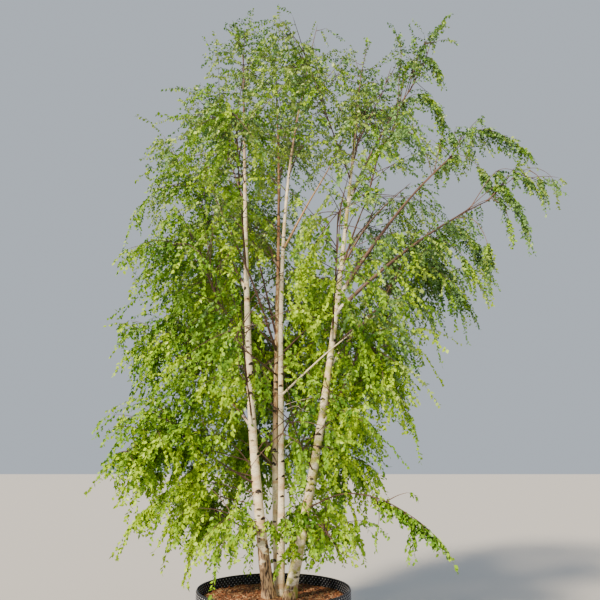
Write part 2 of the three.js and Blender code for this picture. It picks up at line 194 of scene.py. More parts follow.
def stations(lines: Array, step: float, least: int) -> tuple[Array, Array, Array]:
    """Shares out places along lines, by their length.

    Args:
        lines: Lines, points and x, y, z on the three axes.
        step: The distance between two places.
        least: How many places a line has at least.

    Returns:
        For each place, the number of its line, its number on it and how many that line has.
    """
    lengths = np.linalg.norm(np.diff(lines, axis=1), axis=-1).sum(axis=1)
    counts = np.maximum((lengths / step).astype(int), least)
    owner = np.repeat(np.arange(len(lines)), counts)
    order = np.arange(len(owner)) - np.repeat(np.cumsum(counts) - counts, counts)
    return owner, order, counts[owner]


def on_lines(lines: Array, owner: Array, shares: Array) -> tuple[Array, Array]:
    """Finds places on lines.

    Args:
        lines: Lines, points and x, y, z on the three axes.
        owner: The number of the line that each place is on.
        shares: The share of the line's points before each place.

    Returns:
        The places, and the stretch of line that each is on.
    """
    where = np.minimum(shares, ALMOST_ONE) * (lines.shape[1] - 1)
    step = where.astype(int)
    before = lines[owner, step]
    stretch = lines[owner, step + 1] - before
    return before + stretch * (where - step)[..., None], stretch


# Meshes


class Patch:
    """Points and faces gathered for one piece."""

    def __init__(self, *body: Array) -> None:
        """Starts with nothing, or with the points and faces of a body."""
        self.points: list[Array] = []
        self.faces: list[Array] = []
        self.count = 0
        if body:
            self.add(*body)

    def add(self, points: Array, *faces: Array) -> None:
        """Adds points, and faces that number them from 0.

        Args:
            points: The points, with x, y and z on the last axis.
            faces: Arrays with one face a row, each with its own number of corners.
        """
        flat = points.reshape(-1, 3)
        self.points.append(flat)
        self.faces.extend(rows + self.count for rows in faces if len(rows))
        self.count += len(flat)

    def build(self, name: str, smooth: bool = True) -> Piece:
        """Makes a mesh object.

        Args:
            name: The name of the object.
            smooth: Whether the faces are shaded as one smooth skin.

        Returns:
            The object, linked to the scene.
        """
        mesh = bpy.data.meshes.new(name)
        points = np.concatenate(self.points)
        corners = np.concatenate([rows.ravel() for rows in self.faces])
        sizes = np.concatenate([np.full(len(rows), rows.shape[1]) for rows in self.faces])
        starts = np.concatenate([[0], np.cumsum(sizes)[:-1]])
        mesh.vertices.add(len(points))
        mesh.vertices.foreach_set("co", points.astype(np.float32).ravel())
        mesh.loops.add(len(corners))
        mesh.loops.foreach_set("vertex_index", corners.astype(np.int32))
        mesh.polygons.add(len(sizes))
        mesh.polygons.foreach_set("loop_start", starts.astype(np.int32))
        mesh.polygons.foreach_set("use_smooth", np.full(len(sizes), smooth))
        mesh.update(calc_edges=True)
        mesh.validate()
        piece = bpy.data.objects.new(name, mesh)
        bpy.context.scene.collection.objects.link(piece)
        return piece


def mark(piece: Piece, name: str, values: Array) -> None:
    """Marks each point of a piece with a value for its finish to read."""
    marks = piece.data.attributes.new(name, "FLOAT", "POINT")
    marks.data.foreach_set("value", values.astype(np.float32).ravel())


def full_turn(steps: int) -> Array:
    """Gives the angles of places evenly round a circle."""
    return 2 * np.pi * np.arange(steps) / steps


def wrapped_quads(rings: int, sides: int) -> Array:
    """Numbers the faces of a closed tube whose rings follow each other.

    Args:
        rings: How many rings there are.
        sides: How many points a ring has.

    Returns:
        One face of four corners a row, facing outward where the rings turn left as they rise.
    """
    ring, side = np.meshgrid(np.arange(rings - 1), np.arange(sides), indexing="ij")
    low, high = ring * sides, (ring + 1) * sides
    beside = (side + 1) % sides
    return np.stack([low + side, low + beside, high + beside, high + side], axis=-1).reshape(-1, 4)


def capped_tube(rings: int, sides: int) -> tuple[Array, Array, Array]:
    """Numbers the faces of a tube of rings: its wall, its first end and its last."""
    side = np.arange(sides)
    return wrapped_quads(rings, sides), side[::-1][None, :], ((rings - 1) * sides + side)[None, :]


def copied(faces: Array, count: int, points: int) -> Array:
    """Numbers the faces of one body again for each of many with so many points."""
    starts = (np.arange(count) * points)[:, None, None]
    return (starts + faces).reshape(-1, faces.shape[1])


def ring_directions(lines: Array, sides: int) -> Array:
    """Finds the directions in which the points of a ring lie round each point of each line.

    Args:
        lines: Lines, points and x, y, z on the three axes.
        sides: How many points a ring has.

    Returns:
        Directions one long, square to the line, by line, point and side.
    """
    along = unit(np.gradient(lines, axis=1))
    least = np.argmin(np.abs(lines[:, -1] - lines[:, 0]), axis=1)
    across = unit(np.cross(along, np.eye(3)[least][:, None, :]))
    beside = np.cross(along, across)
    turn = full_turn(sides)
    return across[:, :, None] * np.cos(turn)[:, None] + beside[:, :, None] * np.sin(turn)[:, None]


def pointed_tubes(lines: Array, radii: Array, sides: int) -> tuple[Array, ...]:
    """Makes a closed tube along each line, with a flat root and a pointed tip.

    Args:
        lines: Tubes, points and x, y, z on the three axes.
        radii: The radius at each point.
        sides: How many sides a tube has.

    Returns:
        The points, then the faces of the sides, tips and roots.
    """
    tubes, rings = lines.shape[:2]
    walls = lines[:, :, None] + radii[:, None, None] * ring_directions(lines, sides)
    points = np.concatenate([walls[:, :-1].reshape(tubes, -1, 3), lines[:, -1:]], axis=1)
    last = (rings - 2) * sides
    side = np.arange(sides)
    tip = np.stack([last + side, last + (side + 1) % sides, np.full(sides, last + sides)], axis=-1)
    faces = wrapped_quads(rings - 1, sides), tip, side[::-1][None, :]
    return points, *(copied(rows, tubes, points.shape[1]) for rows in faces)


# Materials


NOISE, RANGE, MIX = "ShaderNodeTexNoise", "ShaderNodeMapRange", "ShaderNodeMixRGB"
MATH, MAPPING, MARKS = "ShaderNodeMath", "ShaderNodeMapping", "ShaderNodeAttribute"
VECTORS, BUMP, SPLIT = "ShaderNodeVectorMath", "ShaderNodeBump", "ShaderNodeSeparateXYZ"
SMOOTH = {"interpolation_type": "SMOOTHSTEP"}


def linear(colour: str) -> tuple[float, float, float, float]:
    """Turns an sRGB hex colour into the linear one, with an alpha, that a shader takes."""
    shares = [int(colour[i : i + 2], 16) / 255 for i in (1, 3, 5)]
    red, green, blue = (s / 12.92 if s <= 0.04045 else ((s + 0.055) / 1.055) ** 2.4 for s in shares)
    return red, green, blue, 1.0


def scale_of(cell: Triple) -> Triple:
    """Gives the scale at which a pattern's cells have a real size."""
    return tuple(1 / size for size in cell)


def feed(node: bpy.types.Node, inputs: dict | tuple) -> None:
    """Sets and links the inputs of a node.

    Args:
        node: The node.
        inputs: Values, hex colours, sockets, or nodes whose first output is meant, by the names
            of the inputs or in their order.
    """
    pairs = inputs.items() if isinstance(inputs, dict) else enumerate(inputs)
    for name, value in pairs:
        value = value.outputs[0] if isinstance(value, bpy.types.Node) else value
        if isinstance(value, Socket):
            node.id_data.links.new(value, node.inputs[name])
        else:
            node.inputs[name].default_value = linear(value) if isinstance(value, str) else value


def add_node(
    tree: bpy.types.NodeTree, kind: str, inputs: dict | tuple = (), **settings: object
) -> bpy.types.Node:
    """Adds a node with its settings and links.

    Args:
        tree: The material's node tree.
        kind: The node's type.
        inputs: What its inputs are fed with.
        settings: The node's own properties.

    Returns:
        The node.
    """
    node = tree.nodes.new(kind)
    for name, value in settings.items():
        setattr(node, name, value)
    feed(node, inputs)
    return node


@dataclass(frozen=True)
class Finish:
    """A material whose surface is painted by nodes."""

    name: str
    roughness: ClassVar[float] = 0.5
    ior: ClassVar[float] = 1.5

    def paint(self, add: Add, place: Socket) -> dict:
        """Paints the surface.

        Args:
            add: Adds a node to the material.
            place: Where each point of the piece is, in metres.

        Returns:
            What the surface shader's inputs are fed with.
        """
        raise NotImplementedError

    def material(self) -> Material:
        """Makes the material.

        Returns:
            The material, with the finish on its surface shader.
        """
        material = bpy.data.materials.new(self.name)
        material.use_nodes = True
        add = partial(add_node, material.node_tree)
        painted = self.paint(add, add("ShaderNodeTexCoord").outputs["Object"])
        surface = material.node_tree.nodes["Principled BSDF"]
        feed(surface, {"Roughness": self.roughness, "IOR": self.ior, **painted})
        return material


@dataclass(frozen=True)
class BirchBark(Finish):
    """Living birch bark: thin sheets of paper that split and fall as the stem swells.

    The eye gets chalky paper with faint warm bands, short dark pores lying across the stem, black
    scars where limbs were, and rough brown plates with dark cracks towards the foot.
    """

    roughness = 0.78
    paper: str = "#FDF2D4"
    warm: str = "#D8B684"
    pore: str = "#4A4038"
    scar: str = "#2A2522"
    plate: str = "#D0B088"
    crack: str = "#55443A"
    moss: str = "#B0B53C"
    upper: str = "#7A5A46"
    upper_from: float = 4.3  # height where the paper turns into the young brown bark
    upper_pale: str = "#B39375"
    pale_span: Pair = (0.0, 9.0)  # heights between which the young bark peels pale
    pale_most: float = 0.6
    plates_to: float = 0.62  # height where the rough foot ends
    plates_blend: float = 0.3  # how raggedly it ends
    moss_share: float = 0.0
    pore_size: Triple = (26 * MM, 26 * MM, 2.6 * MM)
    band_size: Triple = (1 / 6, 1 / 6, 70 * MM)
    plate_size: Triple = (13 * MM, 13 * MM, 65 * MM)
    moss_patch: float = 55 * MM
    dash: Triple = (64 * MM, 64 * MM, 29 * MM)  # cells that hold one dark dash at most
    dash_share: float = 0.38

    def paint(self, add: Add, place: Socket) -> dict:
        """Paints the bark by height and by the scars of the mesh, as Finish says."""
        height = add(SPLIT, (place,)).outputs["Z"]
        bands = add(MAPPING, {"Vector": place, "Scale": scale_of(self.band_size)})
        band = add(NOISE, {"Vector": bands, "Scale": 1, "Detail": 4})
        banded = add(RANGE, (band, 0.42, 0.7, 0, 0.9), **SMOOTH)
        colour = add(MIX, (banded, self.paper, self.warm))
        pores = add(MAPPING, {"Vector": place, "Scale": scale_of(self.pore_size)})
        pore = add(NOISE, {"Vector": pores, "Scale": 1, "Detail": 1})
        colour = add(MIX, (add(RANGE, (pore, 0.63, 0.69, 0, 0.8), **SMOOTH), colour, self.pore))
        cells = add(MAPPING, {"Vector": place, "Scale": scale_of(self.dash)})
        cell = add("ShaderNodeTexVoronoi", {"Vector": cells, "Scale": 1})
        draw = add("ShaderNodeSeparateColor", (cell.outputs["Color"],))
        dash_size = add(RANGE, (draw, 1 - self.dash_share, 1, -0.1, 0.46), clamp=False)
        dash = add(MATH, (dash_size, cell), operation="SUBTRACT")
        dashed = add(RANGE, (dash, 0, 0.07, 0, 0.92))
        colour = add(MIX, (dashed, colour, self.scar))
        plates = add(MAPPING, {"Vector": place, "Scale": scale_of(self.plate_size)})
        plate = add(NOISE, {"Vector": plates, "Scale": 1, "Detail": 5})
        flaky = add(RANGE, (plate, 0.42, 0.56), **SMOOTH)
        # The young bark of the upper stem, peeling pale.
        ragged = add(NOISE, {"Vector": place, "Scale": 14, "Detail": 3})
        uneven = add(MATH, (ragged, 0.5, height), operation="MULTIPLY_ADD")
        low, high = self.pale_span
        above = add(RANGE, (uneven, low, low + 0.35, 0, self.pale_most))
        below = add(RANGE, (uneven, high, high - 0.5))
        between = add(MATH, (above, below), operation="MULTIPLY")
        flakes = add(MATH, (between, flaky), operation="MULTIPLY")
        peeled = add(MATH, (banded, 0.3, flakes), operation="MULTIPLY_ADD", use_clamp=True)
        peel = add(MIX, (peeled, self.upper, self.upper_pale))
        peel = add(MIX, (dashed, peel, self.scar))
        young = add(RANGE, (uneven, self.upper_from, self.upper_from + 0.9), **SMOOTH)
        colour = add(MIX, (young, colour, peel))
        # The rough foot.
        rough = add(MIX, (flaky, self.crack, self.plate))
        patchy = add(NOISE, {"Vector": bands, "Scale": 2.2, "Detail": 4})
        worn = add(MATH, (patchy, self.plates_blend, height), operation="MULTIPLY_ADD")
        top = self.plates_to + 0.5 * self.plates_blend
        foot = add(RANGE, (worn, top + 0.04, top - 0.04), **SMOOTH)
        colour = add(MIX, (foot, colour, rough))
        scar = add(MARKS, attribute_name="scar").outputs["Fac"]
        scarred = add(MATH, (ragged, 0.5, scar), operation="MULTIPLY_ADD")
        colour = add(MIX, (add(RANGE, (scarred, 0.6, 0.8), **SMOOTH), colour, self.scar))
        if self.moss_share:
            moss = add(NOISE, {"Vector": place, "Scale": 1 / self.moss_patch, "Detail": 6})
            least = 0.75 - self.moss_share
            mossy = add(RANGE, (moss, least, least + 0.1, 0, 0.8), **SMOOTH)
            colour = add(MIX, (mossy, colour, self.moss))
        depth = add(MATH, (plate, foot, band), operation="MULTIPLY_ADD")
        bump = add(BUMP, {"Height": depth, "Strength": 0.5, "Distance": 3 * MM})
        return {"Base Color": colour, "Normal": bump}


@dataclass(frozen=True)
class YoungBark(Finish):
    """Young birch bark on boughs and twigs: smooth, thin and faintly waxed.

    The eye gets dark reddish brown with a soft gloss, worn paler in patches, and pale pore dots. A
    bough is papery where it leaves its stem.
    """

    deep: str = "#46332C"
    pale: str = "#7B5D4C"
    dots: str = "#A58D78"
    paper: str = "#E9DFCB"
    patch: float = 60 * MM
    dot: float = 5 * MM

    def paint(self, add: Add, place: Socket) -> dict:
        """Paints the bark, as Finish says."""
        patches = add(NOISE, {"Vector": place, "Scale": 1 / self.patch, "Detail": 3})
        colour = add(MIX, (patches, self.deep, self.pale))
        dots = add(NOISE, {"Vector": place, "Scale": 1 / self.dot, "Detail": 1})
        colour = add(MIX, (add(RANGE, (dots, 0.66, 0.72, 0, 0.7), **SMOOTH), colour, self.dots))
        root = add(MARKS, attribute_name="root").outputs["Fac"]
        ragged = add(MATH, (patches, 0.6, root), operation="MULTIPLY_ADD")
        colour = add(MIX, (add(RANGE, (ragged, 0.75, 0.95), **SMOOTH), colour, self.paper))
        bump = add(BUMP, {"Height": dots, "Strength": 0.3, "Distance": 1 * MM})
        return {"Base Color": colour, "Normal": bump}


@dataclass(frozen=True)
class PlainFinish(Finish):
    """A material of one colour."""

    colour: str = "#7CA80E"

    def paint(self, add: Add, place: Socket) -> dict:
        """Gives the one colour."""
        return {"Base Color": self.colour}


@dataclass(frozen=True)
class BirchLeaf(PlainFinish):
    """A thin fresh leaf with a faint natural wax.

    The eye gets one even green a leaf, dealt out by spray as painted light and shade, with a soft broken
    shine.
    """

    roughness = 0.42
    ior = 1.42


@dataclass(frozen=True)
class MouldedSheet(Finish):
    """Black polyethylene sheet, heated and drawn into cones.

    The eye gets a dull blue-black with a pale tip on each cone, a painted highlight with a little
    scuffing, and a film of dust that thickens downward.
    """

    ior = 1.51
    sheet: str = "#10131B"
    dust: str = "#6E6154"
    worn: str = "#CDD3E2"  # painted highlights on the cone tips, with a little scuffing
    dust_top: float = 0.5
    dust_patch: float = 90 * MM
    grain: float = 1.5 * MM

    def paint(self, add: Add, place: Socket) -> dict:
        """Paints the sheet by height, and paints highlights on the cones of the mesh, as Finish says."""
        height = add(SPLIT, (place,)).outputs["Z"]
        patches = add(NOISE, {"Vector": place, "Scale": 1 / self.dust_patch, "Detail": 6})
        low = add(RANGE, (height, self.dust_top, 0, -0.12, 0.22))
        dusty = add(MATH, (patches, low), operation="ADD")
        film = add(RANGE, (dusty, 0.45, 0.95, 0, 0.25), **SMOOTH)
        colour = add(MIX, (film, self.sheet, self.dust))
        # Painted highlight: a pale dot on the tip of each cone, a little of it scuffing.
        tip = add(MARKS, attribute_name="tip").outputs["Fac"]
        colour = add(MIX, (add(RANGE, (tip, 0.42, 0.75, 0, 0.85), **SMOOTH), colour, self.worn))
        grain = add(NOISE, {"Vector": place, "Scale": 1 / self.grain, "Detail": 2})
        bump = add(BUMP, {"Height": grain, "Strength": 0.15, "Distance": 0.4 * MM})
        matt = add(RANGE, (film, 0, 1, 0.3, 1))
        return {"Base Color": colour, "Normal": bump, "Roughness": matt}


@dataclass(frozen=True)
class ChippedBark(Finish):
    """Shredded conifer bark, dried on top.

    The eye gets fibrous brown splinters, each a little lighter or darker along its grain.
    """

    roughness = 0.93
    light: str = "#AD7048"
    dark: str = "#643C28"
    fibre: float = 3 * MM

    def paint(self, add: Add, place: Socket) -> dict:
        """Paints the chips, as Finish says."""
        fibres = add(NOISE, {"Vector": place, "Scale": 1 / self.fibre, "Detail": 4})
        colour = add(MIX, (add(RANGE, (fibres, 0.35, 0.65)), self.dark, self.light))
        bump = add(BUMP, {"Height": fibres, "Strength": 0.6, "Distance": 1.2 * MM})
        return {"Base Color": colour, "Normal": bump}


@dataclass(frozen=True)
class Compost(Finish):
    """Fine compost between the chips, swept pale and dusty round the stems.

    The eye gets crumbly dark brown at the edge and a dry sandy skin in the middle.
    """

    roughness = 0.96
    damp: str = "#3B2A1F"
    dry: str = "#B7966E"
    red: str = "#6F4830"
    dry_middle: Triple = (0.03, -0.13, 0.0)
    dry_radius: float = 0.17
    crumb: float = 5 * MM
    patch: float = 70 * MM

    def paint(self, add: Add, place: Socket) -> dict:
        """Paints the compost by its distance from the stems, as Finish says."""
        aside = add(VECTORS, (place, self.dry_middle), operation="SUBTRACT")
        level = add(VECTORS, (aside, (1, 1.3, 0)), operation="MULTIPLY")
        out = add(VECTORS, (level,), operation="LENGTH").outputs["Value"]
        patches = add(NOISE, {"Vector": place, "Scale": 1 / self.patch, "Detail": 5})
        ragged = add(MATH, (patches, 0.5, out), operation="MULTIPLY_ADD")
        dry = add(RANGE, (ragged, self.dry_radius + 0.36, self.dry_radius + 0.1), **SMOOTH)
        crumbs = add(NOISE, {"Vector": place, "Scale": 1 / self.crumb, "Detail": 5})
        crumbly = add(RANGE, (crumbs, 0.38, 0.62))
        under = add(MIX, (crumbly, self.damp, self.red))
        over = add(MIX, (crumbly, self.red, self.dry))
        bump = add(BUMP, {"Height": crumbs, "Strength": 0.9, "Distance": 3 * MM})
        return {"Base Color": add(MIX, (dry, under, over)), "Normal": bump}


def finish_piece(piece: Piece, material: Material, slot: str, nodes: list[str]) -> None:
    """Dresses a piece, seats it on the body and says which solids it stands for.

    Args:
        piece: The piece.
        material: Its material.
        slot: The record's slot that the finish belongs to; not used.
        nodes: The solids that it replaces.
    """
    piece.data.materials.append(material)
    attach(piece, BODY)
    if nodes:
        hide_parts(*nodes)
    log.info("%s: %d faces for %s", piece.name, len(piece.data.polygons), ", ".join(nodes[:3]))


# Container


@dataclass
class Container:
    """The wide round container: a thin sheet drawn into cones, rolled up round a flat base."""

    radius: float = 0.640
    height: float = 0.6
    sheet: float = 3 * MM
    cone: float = 13 * MM  # how far the cones stand in and out
    pitch: float = 19 * MM  # from an outward cone to the inward one beside it
    steps: int = 2  # stretches between two cones
    rim: float = 12 * MM  # plainer strips along the edges
    rim_cones: float = 0.2  # how much of the cones is left on them
    base: float = 14 * MM
    bed: float = 0.42  # the inside is plain below this height, where nothing shows
    finish: MouldedSheet = MouldedSheet("black moulded polyethylene")

    def rows(self, height_from: float) -> Array:
        """Lists the rising heights of the rows of points, from the lowest to the edge."""
        step = self.pitch / self.steps
        heights = np.arange(self.height, height_from, -step)[::-1]
        return np.append(heights, self.height) if heights[-1] < self.height - step / 2 else heights

    def wall(self, heights: Array, sides: int, inward: float) -> tuple[Array, Array]:
        """Places the points of one face of the sheet.

        Args:
            heights: The heights of its rows.
            sides: How many points a row has.
            inward: How far this face lies inside the outer one.

        Returns:
            The points, row by row, and how far each stands out of the plain wall, in cones.
        """
        turn = np.arange(sides)[None, :]
        row = (self.height - heights[:, None]) / self.pitch
        cones = np.cos(np.pi * turn / self.steps) * np.cos(np.pi * row)
        edge = np.minimum(self.height - heights, heights)[:, None]
        plain = np.clip(edge / self.rim, self.rim_cones, 1)
        radius = self.radius - inward + self.cone * cones * plain
        angle = 2 * np.pi * turn / sides
        z = np.broadcast_to(heights[:, None], radius.shape)
        return np.stack([radius * np.cos(angle), radius * np.sin(angle), z], axis=-1), cones * plain

    def build(self) -> None:
        """Builds the container as one closed body and dresses it."""
        pairs = round(math.pi * self.radius / self.pitch)
        sides = 2 * pairs * self.steps
        outer, proud = self.wall(self.rows(self.pitch / 2), sides, 0.0)
        foot = outer[:1] * (1, 1, 0)
        inner, sunk = (rows[::-1] for rows in self.wall(self.rows(self.bed), sides, self.sheet))
        floor = inner[-1:] * (1, 1, 0) + UP * self.base
        walls = np.concatenate([foot, outer, inner, floor])
        rings = len(walls)
        side = np.arange(sides)
        beside = (side + 1) % sides
        under = np.stack([np.full(sides, rings * sides), beside, side], axis=-1)
        last = (rings - 1) * sides
        over = np.stack([np.full(sides, rings * sides + 1), last + side, last + beside], axis=-1)
        middles = np.array([[0, 0, 0], [0, 0, self.base]])
        points = np.concatenate([walls.reshape(-1, 3), middles])
        piece = Patch(points, wrapped_quads(rings, sides), under, over).build("container")
        # The tips of the cones are marked for the painted highlight, with a little scuffing, that the finish
        # puts on each.
        bare = np.zeros((1, sides))
        tips = np.clip(np.concatenate([bare, proud, -sunk, bare]), 0, 1)
        mark(piece, "tip", np.append(tips, [0, 0]))
        finish_piece(piece, self.finish.material(), "pot_plastic", ["pot"])


@dataclass
class MulchBed:
    """The compost that fills the container, with bark chips strewn over it."""

    radius: float = 0.634
    level: float = 0.53
    fall: float = 16 * MM  # how much lower the edge lies than the middle
    lumps: float = 7 * MM
    lump_width: float = 70 * MM
    crumbs: float = 0.25  # the share of the lumps' height that crumbs a quarter as wide have
    foot: float = 0.016
    sides: int = 150
    rings: int = 34
    middle: float = 0.0004  # the share of the surface that the face in the middle takes
    chips: int = 3600
    chip_outline: tuple[Pair, ...] = ((-1, -0.6), (-0.5, -1), (0.6, -0.8), (1, 0.1), (0.5, 1), (-0.8, 0.7))
    chip_length: Pair = (12 * MM, 52 * MM)
    chip_width: Pair = (6 * MM, 17 * MM)
    chip_thickness: Pair = (2 * MM, 6 * MM)
    chip_wear: float = 0.12  # how uneven the outlines are
    chip_tilt: Pair = (0.28, 0.25)  # how steeply chips lie, along and across
    chip_lift: float = 0.6  # how high their middles lie, in thicknesses
    edge: float = 0.02  # chips keep this far inside the wall
    swept: Triple = (0.03, -0.13, 0.27)  # a place with few chips: its middle and its radius
    seed: int = 11
    finish: Compost = Compost("crumbly compost")
    mulches: tuple[ChippedBark, ...] = (
        ChippedBark("rusty bark chips", "#AD7048", "#643C28"),
        ChippedBark("sandy bark chips", "#D0AA7E", "#8C6748"),
        ChippedBark("dark bark chips", "#6E4B36", "#3A271D"),
    )
    mulch_shares: Triple = (0.5, 0.27, 0.23)

    def height_at(self, x: Array, y: Array) -> Array:
        """Finds the height of the surface.

        Args:
            x: Places across.
            y: Places along.

        Returns:
            The height at each place.
        """
        flat = np.stack([x, y, 0 * x], axis=-1)
        lump = smooth_noise(flat / self.lump_width, 5.0)
        crumb = smooth_noise(flat / (self.lump_width / 4), 9.0)
        settled = np.clip(np.hypot(x, y) / self.radius, 0, 1)
        uneven = (1 - self.crumbs) * lump + self.crumbs * crumb
        rough = self.lumps * uneven * np.clip(3 * settled, 0, 1)
        return self.level - self.fall * settled**2 + rough - self.lumps / 2

    def build_bed(self) -> None:
        """Builds the compost as one closed body."""
        turn = full_turn(self.sides)
        out = self.radius * np.sqrt(np.linspace(1, self.middle, self.rings))[:, None]
        x, y = out * np.cos(turn), out * np.sin(turn)
        top = np.stack([x, y, self.height_at(x, y)], axis=-1)
        walls = np.concatenate([top[:1] * (1, 1, 0) + UP * self.foot, top])
        bed = Patch(walls, *capped_tube(len(walls), self.sides)).build("compost_bed")
        finish_piece(bed, self.finish.material(), "compost", ["compost"])

    def build_chips(self) -> None:
        """Strews the chips: flat splinters with blunt, uneven ends."""
        rng = np.random.default_rng(self.seed)
        out = (self.radius - self.edge) * np.sqrt(rng.random(self.chips))
        angle = 2 * np.pi * rng.random(self.chips)
        x, y = out * np.cos(angle), out * np.sin(angle)
        middle_x, middle_y, radius = self.swept
        swept = np.hypot(x - middle_x, 1.3 * (y - middle_y)) / radius
        stays = rng.random(self.chips) < np.clip(1.6 * swept - 0.5, 0.1, 1)
        x, y = x[stays], y[stays]
        count, corners = len(x), len(self.chip_outline)
        length = rng.uniform(*self.chip_length, count)
        width = rng.uniform(*self.chip_width, count)
        thickness = rng.uniform(*self.chip_thickness, count)
        tilt_along, tilt_across = self.chip_tilt
        along = unit(rng.normal(0, 1, (count, 3)) * (1, 1, tilt_along))
        across = unit(np.cross(UP, along) + rng.normal(0, tilt_across, (count, 3)))
        upward = np.cross(along, across)
        worn = rng.normal(0, self.chip_wear, (count, corners, 3))[..., :2]
        outline = np.array(self.chip_outline) + worn
        lift = UP * (thickness[:, None] * self.chip_lift)
        middle = np.stack([x, y, self.height_at(x, y)], axis=-1) + lift
        flat = (
            middle[:, None]
            + along[:, None] * outline[..., :1] * length[:, None, None] / 2
            + across[:, None] * outline[..., 1:] * width[:, None, None] / 2
        )
        layers = [flat + upward[:, None] * side * thickness[:, None, None] for side in (-0.5, 0.5)]
        chips = np.stack(layers, axis=1)
        kind = rng.choice(len(self.mulches), count, p=self.mulch_shares)
        for number, mulch in enumerate(self.mulches):
            mine = chips[kind == number]
            patch = Patch(mine, *(copied(rows, len(mine), 2 * corners) for rows in capped_tube(2, corners)))
            piece = patch.build(mulch.name.replace(" ", "_"), smooth=False)
            finish_piece(piece, mulch.material(), "compost", [])

    def build(self) -> None:
        """Builds the bed and its chips."""
        self.build_bed()
        self.build_chips()


# Stems and boughs


@dataclass(frozen=True)
class Stem:
    """One stem: where it runs and how thick it is.

    foot_lean and tip_lean are how far it moves sideways for each unit of height, at each end.
    """

    name: str
    slot: str
    foot: Pair
    tip: Triple
    foot_lean: Pair
    tip_lean: Pair
    radius: float
    tip_radius: float
    bark: BirchBark
    plates_depth: float = 3 * MM
    flare_share: float = 0.34
    flare_height: float = 0.11
    veil: float = 0.0  # the share of leaves that hide it above the height where its boughs begin

    @property
    def line(self) -> Line:
        """The line from the compost to the tip."""
        start = np.array([*self.foot, GROUND])
        end = np.array(self.tip)
        handle = (end[2] - start[2]) / 3
        leaving = start + handle * np.array([*self.foot_lean, 1.0])
        arriving = end - handle * np.array([*self.tip_lean, 1.0])
        return bezier(start, leaving, arriving, end)

    def radius_at(self, shares: Array) -> Array:
        """Finds the radius at shares of the length: it tapers evenly and flares at the foot."""
        taper = self.radius + (self.tip_radius - self.radius) * shares**0.9
        flare = np.exp(-shares * self.line.length / self.flare_height)
        return taper * (1 + self.flare_share * flare)


STEMS = (
    Stem(
        name="stem_left",
        slot="white_bark",
        foot=(-0.038, -0.042),
        tip=(-0.350, -0.150, 5.150),
        foot_lean=(-0.16, 0.0),
        tip_lean=(-0.04, -0.02),
        radius=0.050,
        tip_radius=0.008,
        bark=BirchBark("papery birch bark, plated foot", plates_to=0.95, plates_blend=1.3),
        plates_depth=6 * MM,
    ),
    Stem(
        name="stem_middle_back",
        slot="tan_bark",
        foot=(0.032, 0.150),
        tip=(-0.030, 0.330, 5.300),
        foot_lean=(-0.06, 0.02),
        tip_lean=(-0.05, 0.05),
        radius=0.033,
        tip_radius=0.008,
        bark=BirchBark(
            "peeling birch bark",
            upper="#946C4A",
            upper_pale="#F7DCAA",
            upper_from=1.6,
            pale_span=(2.3, 3.8),
            pale_most=1.0,
            plates_to=0.5,
        ),
    ),
    Stem(
        name="stem_middle_front",
        slot="white_bark",
        foot=(0.052, 0.048),
        tip=(0.240, 0.020, 5.300),
        foot_lean=(0.022, 0.0),
        tip_lean=(0.2, -0.02),
        radius=0.035,
        tip_radius=0.008,
        bark=BirchBark("clean papery birch bark", plates_to=0.5),
        plates_depth=2 * MM,
    ),
    Stem(
        name="stem_right",
        slot="white_bark",
        foot=(0.128, -0.062),
        tip=(0.800, -0.070, 5.000),
        foot_lean=(0.235, 0.0),
        tip_lean=(0.12, 0.02),
        radius=0.049,
        tip_radius=0.009,
        bark=BirchBark("mossy papery birch bark", plates_to=0.62, moss_share=0.27),
        plates_depth=4 * MM,
        veil=0.45,
    ),
)


